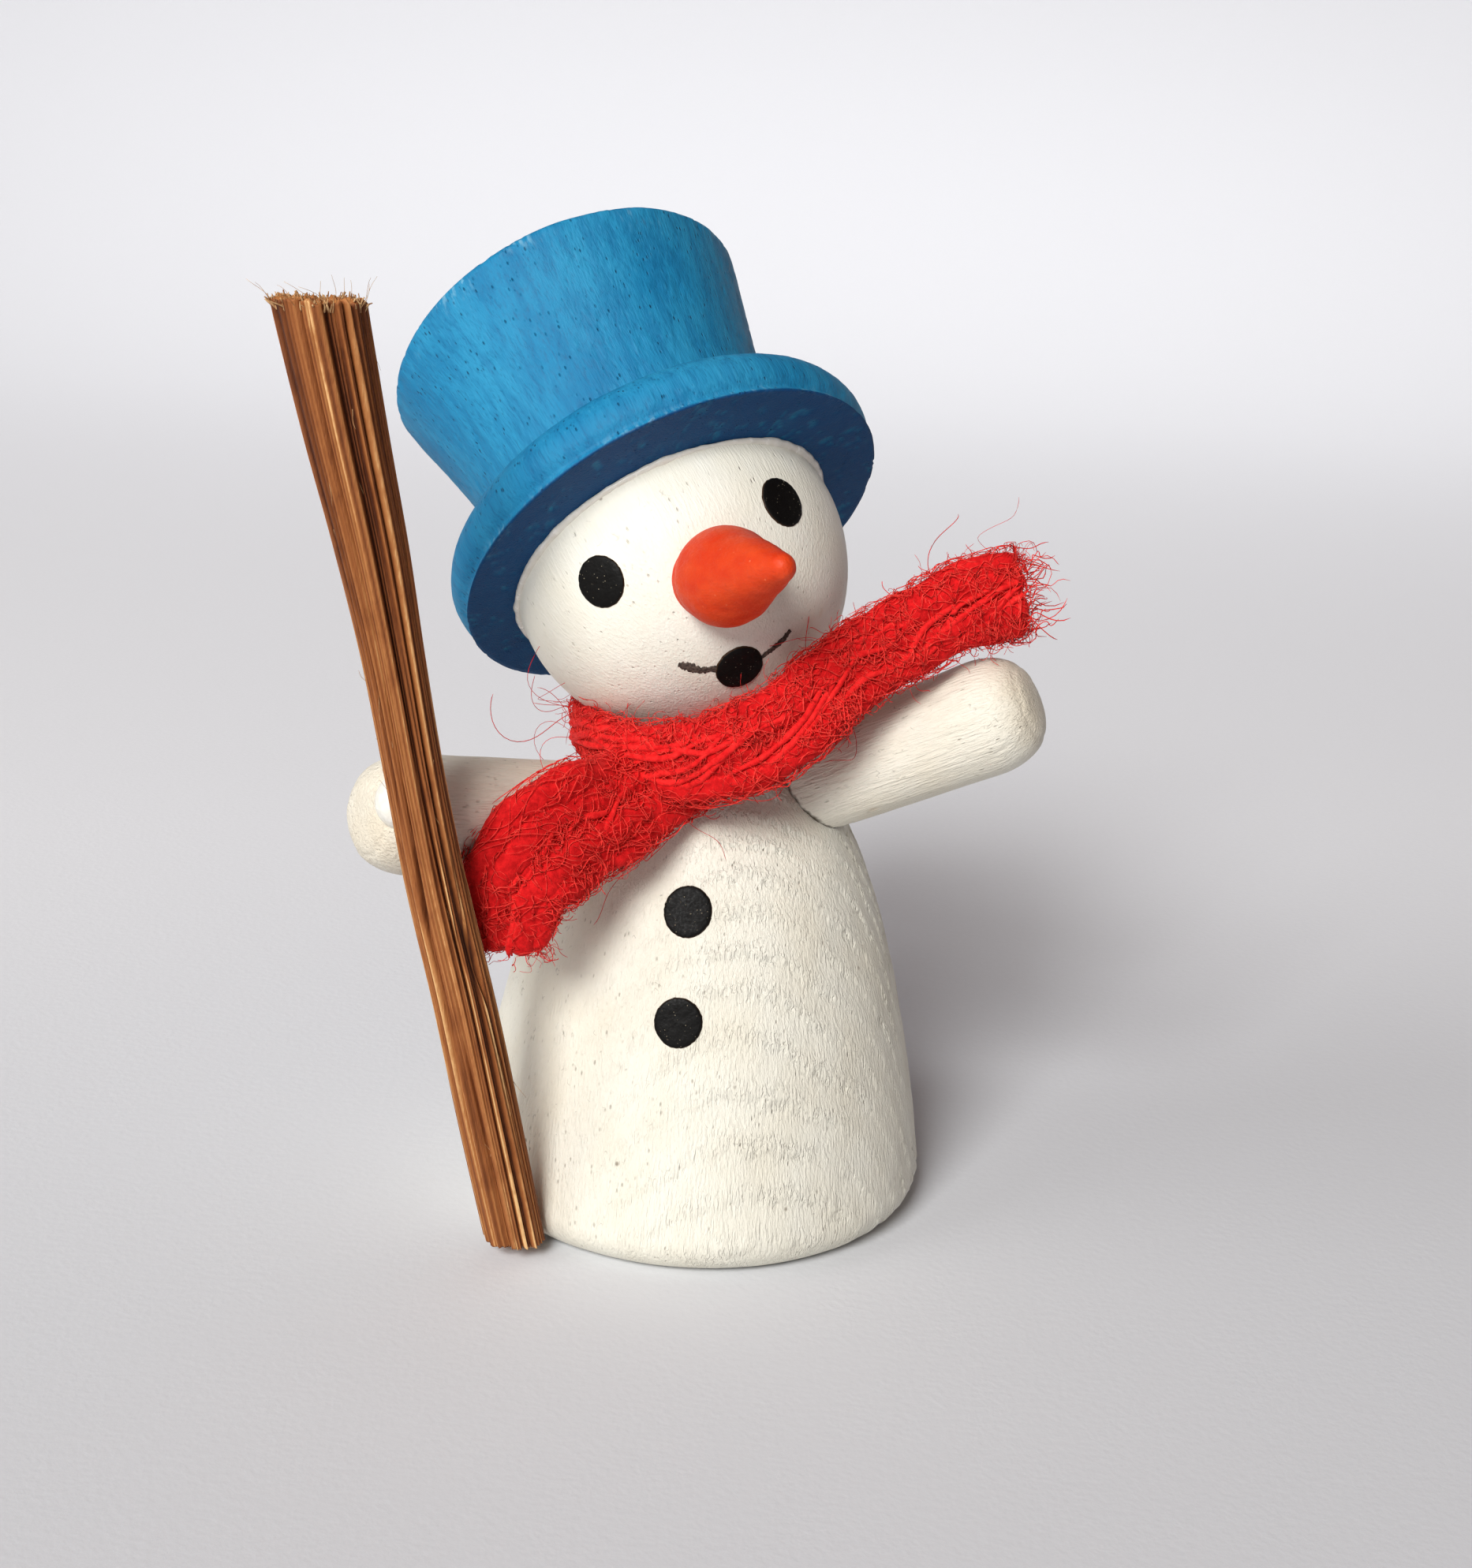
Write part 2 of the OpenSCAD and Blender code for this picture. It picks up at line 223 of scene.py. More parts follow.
def lathe(outline, step, around, relief):
    """Points and polygons of a turned solid, its outline running from the axis below to that above.
    relief gives how far each point stands out, from the points and the ways they face."""
    line = dense(outline, step)
    way = np.gradient(line, axis=0)
    way /= np.linalg.norm(way, axis=1)[:, None]
    out = np.stack([way[:, 1], -way[:, 0]], 1)
    turn = circle(around)

    def spun(values):
        ring = values[1:-1]
        flat = ring[:, None, :1] * turn[None]
        high = np.repeat(ring[:, None, 1:], around, axis=1)
        return np.concatenate([flat, high], axis=2).reshape(-1, 3)

    ends = np.array([[0, 0, line[0, 1]], [0, 0, line[-1, 1]]])
    points = np.concatenate([spun(line), ends])
    facing = np.concatenate([spun(out), [[0, 0, -1], [0, 0, 1]]])
    points = points + facing * relief(points, facing)[:, None]
    rings = np.arange((len(line) - 2) * around).reshape(-1, around)
    low, high = rings.size, rings.size + 1
    fans = [fan(low, rings[0])[:, [0, 2, 1]], fan(high, rings[-1])]
    return points, [bands(rings[:-1], rings[1:]), *fans]


def curve_points(a, b, c, d, steps):
    """Points of a cubic curve with end points a and d and handles b and c."""
    t = np.linspace(0, 1, steps + 1)[:, None]
    a, b, c, d = (np.array(p, float) for p in (a, b, c, d))
    return (1 - t) ** 3 * a + 3 * (1 - t) ** 2 * t * b + 3 * (1 - t) * t * t * c + t**3 * d


def arc_points(centre, radius, start, end, steps):
    angle = np.radians(np.linspace(start, end, steps + 1))
    return np.array(centre) + radius * np.stack([np.cos(angle), np.sin(angle)], 1)


def smooth_route(points, count):
    """A smooth curve through rows of numbers, at count even steps of its list."""
    points = np.array(points, float)
    last = len(points) - 1
    at = np.linspace(0, last, count)
    i = np.minimum(at.astype(int), last - 1)
    t = (at - i)[:, None]
    before, after = points[np.maximum(i - 1, 0)], points[np.minimum(i + 2, last)]
    a, b = points[i], points[i + 1]
    return 0.5 * (
        2 * a
        + (b - before) * t
        + (2 * before - 5 * a + 4 * b - after) * t**2
        + (3 * a - before - 3 * b + after) * t**3
    )


def units(vectors):
    return vectors / np.maximum(np.linalg.norm(vectors, axis=-1, keepdims=True), 1e-9)


def tubes(lines, radii, sides):
    """Closed tubes along many lines, (count, points, 3), with a radius at each point."""
    lines = np.asarray(lines, float)
    count, length = lines.shape[:2]
    way = units(np.gradient(lines, axis=1))
    aside = np.where(np.abs(way[..., 2:]) < 0.9, [0.0, 0.0, 1.0], [1.0, 0.0, 0.0])
    first = units(np.cross(way, aside))
    second = np.cross(way, first)
    turn = circle(sides)
    ring = first[:, :, None] * turn[:, :1] + second[:, :, None] * turn[:, 1:]
    points = lines[:, :, None] + ring * np.asarray(radii)[:, :, None, None]
    index = np.arange(count * length * sides).reshape(count, length, sides)
    caps = [index[:, 0, ::-1], index[:, -1]]
    return points.reshape(-1, 3), [bands(index[:, :-1], index[:, 1:]), *caps]


def front_way(turn, rise):
    """The way that is turned from the front towards +X, and raised, in degrees."""
    turn, rise = np.radians(turn), np.radians(rise)
    return np.stack([np.sin(turn) * np.cos(rise), -np.cos(turn) * np.cos(rise), np.sin(rise)], -1)


def flat_way(turn):
    """The way that is turned from +X towards +Y, in degrees."""
    return np.array([math.cos(math.radians(turn)), math.sin(math.radians(turn)), 0])


def placed(turn, position):
    """A matrix from the turns round X, Y and Z in degrees, and a place in millimetres."""
    a, b, c = (math.radians(v) for v in turn)
    spin = Matrix.Rotation(c, 4, "Z") @ Matrix.Rotation(b, 4, "Y") @ Matrix.Rotation(a, 4, "X")
    return Matrix.Translation(Vector(position) * MM) @ spin


# ---------------------------------------------------------------- material helpers


def tint(red, green, blue):
    """A colour as seen, from 0 to 255, as the light it gives."""
    linear = [
        (v / 255 / 12.92 if v <= 10 else ((v / 255 + 0.055) / 1.055) ** 2.4)
        for v in (red, green, blue)
    ]
    return (*linear, 1)


class Looks:
    """A material whose nodes are made one by one, on the object's own coordinates. Sizes are
    (x, y, z) in millimetres."""

    def __init__(self, name, **values):
        self.material = bpy.data.materials.new(name)
        self.material.use_nodes = True
        self.tree = self.material.node_tree
        self.shader = self.tree.nodes["Principled BSDF"]
        for key, value in values.items():
            self.shader.inputs[key.replace("_", " ")].default_value = value
        self.place = self.node("ShaderNodeTexCoord").outputs["Object"]

    def node(self, kind, **settings):
        made = self.tree.nodes.new(kind)
        for key, value in settings.items():
            setattr(made, key, value)
        return made

    def link(self, source, target):
        if isinstance(source, (int, float, tuple)):
            target.default_value = source
        else:
            self.tree.links.new(source, target)

    def stretched(self, size, turn=(0, 0, 0)):
        """Coordinates in which one unit is this size."""
        made = self.node("ShaderNodeMapping")
        made.inputs["Scale"].default_value = [1 / (v * MM) for v in size]
        made.inputs["Rotation"].default_value = [math.radians(v) for v in turn]
        self.link(self.place, made.inputs["Vector"])
        return made.outputs["Vector"]

    def noise(self, size, detail=2, roughness=0.5, turn=(0, 0, 0)):
        made = self.node("ShaderNodeTexNoise")
        for key, value in (("Scale", 1), ("Detail", detail), ("Roughness", roughness)):
            made.inputs[key].default_value = value
        self.link(self.stretched(size, turn), made.inputs["Vector"])
        return made.outputs["Fac"]

    def dots(self, size, low, high):
        """Dots scattered one to a cell of this size, solid out to low and gone at high."""
        made = self.node("ShaderNodeTexVoronoi")
        made.inputs["Scale"].default_value = 1
        self.link(self.stretched(size), made.inputs["Vector"])
        return self.step(made.outputs["Distance"], high, low)

    def ramp(self, value, *stops, smooth=False):
        """A value or colour read off a ramp of (place, value or colour) stops."""
        made = self.node("ShaderNodeValToRGB")
        ramp = made.color_ramp
        ramp.interpolation = "EASE" if smooth else "LINEAR"
        while len(ramp.elements) < len(stops):
            ramp.elements.new(0.5)
        for element, (at, colour) in zip(ramp.elements, stops):
            element.position = at
            element.color = colour if isinstance(colour, tuple) else (colour,) * 3 + (1,)
        self.link(value, made.inputs["Fac"])
        return made.outputs["Color"]

    def step(self, value, none, full):
        """0 where the value is at none, 1 where it is at full, and even between them."""
        return self.ramp(value, *sorted([(none, 0.0), (full, 1.0)]))

    def math(self, operation, a, b):
        made = self.node("ShaderNodeMath", operation=operation)
        self.link(a, made.inputs[0])
        self.link(b, made.inputs[1])
        return made.outputs[0]

    def add(self, a, b):
        return self.math("ADD", a, b)

    def less(self, a, b):
        return self.math("SUBTRACT", a, b)

    def times(self, a, b):
        return self.math("MULTIPLY", a, b)

    def mix(self, amount, a, b):
        made = self.node("ShaderNodeMix", data_type="RGBA")
        self.link(amount, made.inputs["Factor"])
        self.link(a, made.inputs[6])
        self.link(b, made.inputs[7])
        return made.outputs[2]

    def layers(self, colour, *layers):
        """The colour with others laid over it in turn, each (where, how strongly, colour)."""
        for where, strength, over in layers:
            colour = self.mix(self.times(where, strength), colour, tint(*over))
        return colour

    def attribute(self, name):
        return self.node("ShaderNodeAttribute", attribute_name=name).outputs["Fac"]

    def finish(self, colour, height, depth, rough=None):
        """The material with its colour, its relief with its full depth in millimetres, and what its
        roughness comes from, where that isn't even."""
        self.link(colour, self.shader.inputs["Base Color"])
        if rough is not None:
            self.link(rough, self.shader.inputs["Roughness"])
        if height is not None:
            made = self.node("ShaderNodeBump")
            made.inputs["Distance"].default_value = depth * MM
            self.link(height, made.inputs["Height"])
            self.link(made.outputs["Normal"], self.shader.inputs["Normal"])
        return self.material


def painted_wood(name, base, warm, grain, specks=0.5):
    """White paint brushed over wood: fibre lines along Z, pits, dark flecks, tan spots, and dirt,
    cracks or sharp pores where the mesh asks for them."""
    looks = Looks(name, Specular_IOR_Level=0.3)
    fibres = looks.noise((0.16, 0.16, 1.3), 3, 0.6)
    broad = looks.noise((3.2, 3.2, 4.5), 3)
    patches = looks.step(looks.noise((1.3, 1.3, 2.1)), 0.48, 0.58)
    pits = looks.times(looks.dots((0.34, 0.34, 0.95), 0.05, 0.2), patches)
    # Fine dark flecks: short pieces of a thin line that wanders
    wander = looks.ramp(looks.noise((1.0, 1.0, 1.5)), (0.488, 0.0), (0.5, 1.0), (0.512, 0.0))
    flecks = looks.times(wander, looks.step(looks.noise((0.6, 0.6, 0.8)), 0.6, 0.66))
    grime = looks.times(looks.attribute("grime"), looks.ramp(broad, (0.3, 0.4), (0.6, 1.0)))
    colour = looks.layers(
        looks.mix(looks.step(broad, 0.35, 0.7), base, warm),
        (pits, specks, (168, 158, 138)),
        (flecks, specks, (120, 112, 100)),
        (looks.dots((3.4, 3.4, 4.2), 0.02, 0.045), 0.7, (112, 92, 66)),
        (looks.dots((8.5, 8.5, 9.5), 0.03, 0.06), 0.4, (205, 165, 115)),
        (grime, 0.32, (196, 176, 146)),
        (looks.attribute("crack"), 1.0, (84, 76, 62)),
    )
    thin = looks.step(looks.noise((0.17, 0.17, 1.1), 2, 0.6, turn=(0, 4, 0)), 0.5, 0.6)
    thin = looks.times(thin, looks.attribute("streaks"))
    relief = looks.times(looks.step(fibres, 0.42, 0.66), grain)
    relief = looks.add(relief, looks.times(looks.noise((0.12, 0.12, 0.2)), 0.35))
    relief = looks.less(looks.less(relief, looks.times(thin, 1.15)), looks.times(pits, 1.4))
    return looks.finish(colour, relief, 0.045, looks.ramp(fibres, (0.3, 0.45), (0.75, 0.62)))


def stained_wood():
    """Blue stain soaked into turned wood: dark fibre lines along the axis, specks and scuffs, and
    painted shade on the brim's underside.
    """
    looks = Looks("hat_blue", Specular_IOR_Level=0.18)
    fibres = looks.noise((0.14, 0.14, 1.6), 3, 0.6)
    some = looks.step(looks.noise((1.1, 1.1, 1.6)), 0.42, 0.56)
    pores = looks.times(looks.dots((0.3, 0.3, 0.8), 0.08, 0.22), some)
    worn = looks.step(looks.noise((0.3, 0.3, 0.8), 3), 0.5, 0.66)
    broad = looks.step(looks.noise((5, 5, 8)), 0.35, 0.68)
    colour = looks.layers(
        looks.mix(broad, tint(24, 124, 170), tint(42, 140, 182)),
        (looks.step(looks.noise((0.8, 0.8, 9), 3), 0.56, 0.4), 0.4, (14, 98, 146)),
        (looks.step(fibres, 0.48, 0.3), 0.42, (10, 78, 122)),
        (looks.step(fibres, 0.58, 0.78), 0.3, (78, 168, 204)),
        (pores, 0.75, (8, 60, 98)),
        (looks.times(looks.attribute("edge"), worn), 0.8, (150, 196, 214)),
        # Painted shade: the brim's underside, which faces down, is darkened.
        (looks.attribute("under"), 0.85, (4, 56, 112)),
    )
    relief = looks.less(fibres, looks.times(pores, 1.2))
    return looks.finish(colour, relief, 0.05, looks.ramp(fibres, (0.3, 0.5), (0.7, 0.66)))


def dot_paint():
    """Thick black paint or foil with a few bright specks, partly its own glitter and partly painted
    glints, and a thin brownish rim.
    """
    looks = Looks("black_dots", Specular_IOR_Level=0.15)
    some = looks.step(looks.noise((0.45, 0.45, 0.45)), 0.5, 0.58)
    specks = looks.times(looks.dots((0.2, 0.2, 0.2), 0.1, 0.2), some)
    rim = looks.attribute("rim")
    # The pale specks are partly the foil's glitter and partly painted glints.
    colour = looks.layers(tint(9, 8, 7), (specks, 0.7, (170, 160, 136)), (rim, 0.8, (74, 50, 30)))
    grain = looks.noise((0.16, 0.16, 0.16), 3)
    rough = looks.ramp(grain, (0.35, 0.45), (0.7, 0.65))
    return looks.finish(colour, looks.add(grain, specks), 0.025, rough)


def marker_paint():
    looks = Looks("marker_ink", Specular_IOR_Level=0.3)
    grain = looks.noise((0.14, 0.14, 0.14), 3)
    colour = looks.mix(looks.step(grain, 0.35, 0.7), tint(46, 38, 34), tint(104, 90, 80))
    return looks.finish(colour, grain, 0.02, looks.ramp(grain, (0.3, 0.45), (0.7, 0.7)))


def nose_paint():
    looks = Looks("nose_orange", Specular_IOR_Level=0.25)
    broad = looks.noise((1.2, 1.2, 1.6), 3)
    grain = looks.noise((0.15, 0.15, 0.22), 3)
    some = looks.step(looks.noise((1, 1, 1)), 0.52, 0.62)
    pale = looks.times(looks.dots((0.45, 0.45, 0.45), 0.08, 0.16), some)
    colour = looks.layers(
        looks.mix(looks.step(broad, 0.35, 0.65), tint(210, 54, 16), tint(220, 70, 26)),
        (looks.step(grain, 0.56, 0.72), 0.6, (206, 70, 40)),
        (pale, 0.5, (240, 140, 100)),
    )
    rough = looks.ramp(grain, (0.3, 0.42), (0.7, 0.62))
    return looks.finish(colour, looks.add(grain, broad), 0.035, rough)


def broom_fibre():
    """Dry brown fibres: the mesh says how pale each one is, from grooves darkened by painted shade
    to ridges lit by painted highlights.
    """
    looks = Looks("broom_fibre", Specular_IOR_Level=0.25)
    grain = looks.noise((0.1, 0.1, 1.4), 3, 0.6, turn=(12.5, 8.5, 0))
    stains = looks.ramp(looks.noise((1.0, 1.0, 2.4), 3), (0.5, 0.08), (0.75, 0.26))
    pale = looks.less(looks.add(looks.attribute("pale"), looks.times(grain, 0.24)), stains)
    # The darkest stops are painted shade in the grooves; the palest, (238, 192, 132), is a painted
    # highlight along the ridges.
    colour = looks.ramp(
        pale,
        (0.05, tint(76, 36, 16)),
        (0.3, tint(118, 64, 30)),
        (0.55, tint(152, 90, 46)),
        (0.78, tint(184, 122, 70)),
        (1.0, tint(238, 192, 132)),
    )
    return looks.finish(colour, grain, 0.05, looks.ramp(grain, (0.3, 0.55), (0.7, 0.75)))


def broom_hair():
    looks = Looks("broom_hair", Roughness=0.6, Specular_IOR_Level=0.3)
    shade = looks.noise((0.6, 0.6, 0.6))
    colour = looks.ramp(shade, (0.35, tint(136, 84, 44)), (0.65, tint(214, 176, 126)))
    return looks.finish(colour, None, 0)


def wool(name, dark, light):
    """Brushed wool: reds that change from fibre to fibre, with a soft sheen."""
    sheen = {"Sheen_Weight": 0.25, "Sheen_Roughness": 0.5}
    looks = Looks(name, Roughness=0.85, Specular_IOR_Level=0.15, **sheen)
    looks.shader.inputs["Sheen Tint"].default_value = tint(255, 120, 110)
    shade = looks.noise((0.35, 0.35, 0.35), 3, 0.65)
    colour = looks.ramp(shade, (0.34, tint(*dark)), (0.66, tint(*light)))
    return looks.finish(colour, looks.noise((0.09, 0.09, 0.09)), 0.04)


def clear_glue():
    looks = Looks("glue", Specular_IOR_Level=0.5, IOR=1.45, Transmission_Weight=0.08)
    cloud = looks.noise((0.5, 0.5, 0.5), 3)
    colour = looks.mix(looks.step(cloud, 0.4, 0.7), tint(238, 235, 224), tint(248, 246, 238))
    return looks.finish(colour, cloud, 0.06, looks.ramp(cloud, (0.35, 0.12), (0.7, 0.3)))


# ---------------------------------------------------------------- turned parts


def wood_rings(points, facing, seed, ring_way, ring_tilt, spacing, side=None):
    """How far each point lies up its ring's ragged step, and how strongly its pores show. The rings
    arch where the surface lies along them; side is the way that shows them most, round Z."""
    across = flat_way(ring_way)
    streaks = layered_noise(points * [4.2, 4.2, 0.75], seed, 2)
    jags = layered_noise(points * [1.7, 1.7, 0.4], seed + 5, 2)
    warp = layered_noise(points * [0.12, 0.12, 0.09], seed + 10, 2)
    wobble = 0.5 * warp + 0.13 * jags + 0.05 * streaks
    phase = ((points @ across - ring_tilt * points[:, 2]) / spacing + wobble) % 1
    saw = smooth_step(0.2, 0.95, phase) * smooth_step(1.0, 0.96, phase)
    band = smooth_step(0.45, 0.85, phase) + smooth_step(0.18, 0.0, phase)
    strength = 0.45 + 0.55 * smooth_step(-0.4, 0.3, lattice_noise(points * 0.3, seed + 20))
    if side is not None:
        strength = strength * (0.2 + 0.8 * smooth_step(-0.05, 0.75, facing @ flat_way(side)))
    return strength * (saw - 1), strength * band, streaks


def wood_relief(seed, step, pit, *rings):
    """How painted wood's rings and pores stand out, for lathe(): step and pit are their depths."""

    def relief(points, facing):
        saw, band, streaks = wood_rings(points, facing, seed, *rings)
        swell = 0.03 * layered_noise(points * 0.25, seed + 30, 2)
        return step * saw - pit * smooth_step(0.25, 0.75, streaks) * band + swell

    return relief


def body_side(steps):
    return curve_points(
        (BODY_R, BASE_ROUND),
        (0.78 * BODY_R, 0.85 * BODY_H),
        (0.36 * BODY_R, BODY_H),
        (CROWN_FLAT_R, BODY_H),
        steps,
    )


def body_radius(height):
    line = body_side(200)
    return np.interp(height, line[:, 1], line[:, 0])


def make_body():
    outline = [
        (0, 0),
        (BODY_R - BASE_ROUND - 0.35, 0),
        *arc_points((BODY_R - BASE_ROUND, BASE_ROUND), BASE_ROUND, -80, 0, 10),
        *body_side(60)[1:],
        (0, BODY_H),
    ]
    rings = (-70, 0.28, 1.4, -15)
    grain = wood_relief(11, 0.1, 0.07, *rings)

    def relief(points, facing):
        """The foot stays flat, and the paint is smooth under the buttons."""
        calm = smooth_step(0.0, 0.8, points[:, 2])
        for z in BUTTON_HEIGHTS.values():
            away = np.hypot(points[:, 0], points[:, 2] - z)
            calm = calm * np.where(points[:, 1] < 0, smooth_step(1.0, 2.4, away), 1)
        return grain(points, facing) * calm

    points, polygons = lathe(outline, 0.2, 400, relief)
    points[:, 2] = np.maximum(points[:, 2], 0)
    white = painted_wood("painted_body", tint(239, 236, 222), tint(234, 229, 212), 0.6)
    piece = mesh_piece("snowman_body", points, polygons, white, replaces=["body"])
    band = wood_rings(points, units(points * [1, 1, 0]), 11, *rings)[1]
    set_attribute(piece, "streaks", (0.25 + band) * smooth_step(0.0, 0.8, points[:, 2]))


def make_head(place):
    cut = math.degrees(math.asin(HEAD_CUT / HEAD_R))
    ball = arc_points((0, 0), HEAD_R, -90, cut, 90)
    outline = [(0, -HEAD_R), *ball[1:], (0, HEAD_CUT)]

    def relief(points, facing):
        fine = 0.006 * layered_noise(points * 2.5, 43, 2)
        return 0.03 * layered_noise(points * 0.3, 41, 2) + fine

    points, polygons = lathe(outline, 0.22, 280, relief)
    white = painted_wood("painted_head", tint(240, 238, 226), tint(237, 233, 217), 0.35, 0.3)
    mesh_piece("snowman_head", points, polygons, white, place, ["head"])


def hat_outline():
    return [
        (0, 0),
        (BRIM_R, 0),
        *arc_points((BRIM_R - 1.9, BRIM_T - 1.9), 2.1, -35, 78, 14),
        (WAIST_R + 0.5, BRIM_T),
        *curve_points(
            (WAIST_R, BRIM_T + 0.3),
            (WAIST_R - 0.1, 0.45 * HAT_H),
            (CROWN_R - 1, 0.7 * HAT_H),
            (CROWN_R, HAT_H - 0.5),
            24,
        ),
        *arc_points((CROWN_R - 0.5, HAT_H - 0.5), 0.5, 20, 90, 5),
        (0, HAT_H),
    ]


def make_hat(place):
    grain = wood_relief(61, 0.02, 0.06, 40, 0.3, 2.1)

    def relief(points, facing):
        turned = 0.012 * lattice_noise(points[:, 2:] * [0.0, 0.0, 3.0], 64)
        nicks = -0.05 * smooth_step(0.55, 0.9, layered_noise(points * 1.3, 66, 2))
        return grain(points, facing) + turned + nicks

    points, polygons = lathe(hat_outline(), 0.22, 340, relief)
    piece = mesh_piece("top_hat", points, polygons, stained_wood(), place, ["hat"])
    radius, height = np.hypot(points[:, 0], points[:, 1]), points[:, 2]
    crown_edge = np.exp(-(((radius - CROWN_R) / 0.7) ** 2 + ((height - HAT_H) / 0.9) ** 2))
    brim_edge = np.exp(-(((radius - BRIM_R) / 0.4) ** 2 + (height / 0.35) ** 2))
    patchy = smooth_step(-0.2, 0.5, layered_noise(points * 0.35, 71, 2))
    set_attribute(piece, "edge", (crown_edge + 0.7 * brim_edge) * patchy)
    # Painted shade: marks the brim's downward-facing underside, to be darkened.
    set_attribute(piece, "under", smooth_step(0.12, 0.02, height) * (radius < BRIM_R + 0.05))


def set_attribute(piece, name, values):
    made = piece.data.attributes.new(name, "FLOAT", "POINT")
    made.data.foreach_set("value", np.clip(values, 0, 1).astype(np.float32))


def arm_place(side, rise, forward):
    """Along an arm: +Z runs from the body's axis to the hand, side 1 or -1."""
    return placed((0, side * (90 - rise), -side * forward), (0, 0, ARM_Z))


def make_arm(name, place, length, seed, white):
    """A dowel whose rounded tip ends in a small flat with a soft edge."""
    angle = np.radians(np.linspace(0, 90, 25))
    tip = np.stack(
        [ARM_R * np.cos(angle) ** 0.6, length - ARM_ROUND + ARM_ROUND * np.sin(angle)], 1
    )
    outline = [(0, ARM_START), (ARM_ROOT_R, ARM_START), *tip[:-1], (0, length)]
    grain = wood_relief(seed, 0.035, 0.05, 60, 0.12, 1.9)

    def relief(points, facing):
        radius = np.hypot(points[:, 0], points[:, 1])
        at_tip = points[:, 2] > length - ARM_ROUND
        crease = -0.05 * at_tip * np.exp(-(((radius - 2.3) / 0.16) ** 2))
        return grain(points, facing) + crease

    points, polygons = lathe(outline, 0.16, 140, relief)
    piece = mesh_piece(f"snowman_{name}", points, polygons, white, place, [name])
    set_attribute(piece, "grime", smooth_step(length - 2.2, length - 0.6, points[:, 2]))
    turn = np.array(place.to_3x3())
    there = points @ turn.T + np.array(place.translation) / MM
    ragged = 0.16 * layered_noise(points * 2.2, seed + 40, 2)
    gap = np.hypot(there[:, 0], there[:, 1]) - body_radius(there[:, 2]) - ragged
    set_attribute(piece, "crack", smooth_step(0.24, 0.1, np.abs(gap)))


def nose_matrix(head_place):
    way = Vector(front_way(*NOSE_AT))
    points_at = placed((90 - NOSE_POINTS[1], 0, NOSE_POINTS[0]), (0, 0, 0))
    return head_place @ Matrix.Translation(way * HEAD_R * MM) @ points_at


def make_nose(place):
    outline = [
        (0, -1.4),
        (NOSE_R - 0.5, -1.4),
        *curve_points(
            (NOSE_R - 0.5, -0.2), (NOSE_R + 0.1, 0.5), (NOSE_R, 1.6), (NOSE_R - 0.35, 2.9), 16
        ),
        *arc_points((0, NOSE_L - 0.75), 0.75, 18, 90, 9)[:-1],
        (0, NOSE_L),
    ]

    def relief(points, facing):
        return 0.06 * layered_noise(points * 0.55, 81, 3) + 0.01 * layered_noise(points * 3, 85, 2)

    points, polygons = lathe(outline, 0.12, 120, relief)
    mesh_piece("snowman_nose", points, polygons, nose_paint(), place, ["nose"])


# ---------------------------------------------------------------- dots and strokes


def dot_mesh(surface, seed, tall):
    """A thick dot of paint with a ragged edge; surface maps offsets and heights to points."""
    rings, around = 16, 96
    rim = np.column_stack([circle(around), np.full(around, seed)])
    ragged = 0.012 * lattice_noise(rim * 1.6, seed) + 0.016 * lattice_noise(rim * 9, seed + 1)
    reach = DOT_R * (1 + ragged)
    part = np.linspace(0, 1, rings + 1)[1:]
    part = 1 - (1 - part) ** 1.5
    flat = part[:, None, None] * reach[None, :, None] * rim[None, :, :2]
    flat = flat.reshape(-1, 2) * [1.0, tall]
    share = np.repeat(part, around)
    rough = np.column_stack([flat * 3, np.full(len(flat), seed)])
    lumps = 0.012 * layered_noise(rough, seed + 2, 2)
    rise = 0.14 * np.sqrt(np.clip(1 - share**14, 0, 1)) + lumps * (share < 0.97)
    top = surface(np.vstack([flat, [[0, 0]]]), np.append(rise, 0.14))
    sunk = surface(np.vstack([flat[-around:], [[0, 0]]]), np.full(around + 1, -0.12))
    points = np.vstack([top, sunk])
    here, after = np.arange(around), (np.arange(around) + 1) % around
    middle, low, below = rings * around, rings * around + 1, rings * around + 1 + around
    base = np.arange(rings - 1)[:, None] * around
    walls = np.stack([base + here, base + around + here, base + around + after, base + after], 2)
    last = (rings - 1) * around
    skirt = np.stack([last + here, low + here, low + after, last + after], 1)
    fan = np.stack([np.full(around, middle), here, after], 1)
    under = np.stack([np.full(around, below), low + after, low + here], 1)
    rims = np.concatenate([smooth_step(0.955, 1.0, share), [0], np.ones(around), [1]])
    return points, [walls.reshape(-1, 4), skirt, fan, under], rims


def ball_surface(turn, rise):
    """Maps offsets round a place on the head ball, and heights over it, to points of the head."""
    out, aside = front_way(turn, rise), flat_way(turn)
    up = np.cross(out, aside)

    def surface(flat, height):
        distance = np.linalg.norm(flat, axis=1, keepdims=True)
        way = flat / np.maximum(distance, 1e-9)
        angle = np.arcsin(np.clip(distance / HEAD_R, 0, 1))
        direction = np.cos(angle) * out + np.sin(angle) * (way[:, :1] * aside + way[:, 1:] * up)
        return direction * (HEAD_R + height)[:, None]

    return surface


def body_surface(height_of_dot):
    """Maps offsets round a place on the body's front, and heights over it, to points."""

    def surface(flat, height):
        z = height_of_dot + flat[:, 1]
        radius = body_radius(z)
        lean = (body_radius(z + 0.1) - body_radius(z - 0.1)) / 0.2
        y = -np.sqrt(np.maximum(radius**2 - flat[:, 0] ** 2, 0))
        facing = units(np.stack([flat[:, 0] / radius, y / radius, -lean], 1))
        return np.stack([flat[:, 0], y, z], 1) + facing * height[:, None]

    return surface


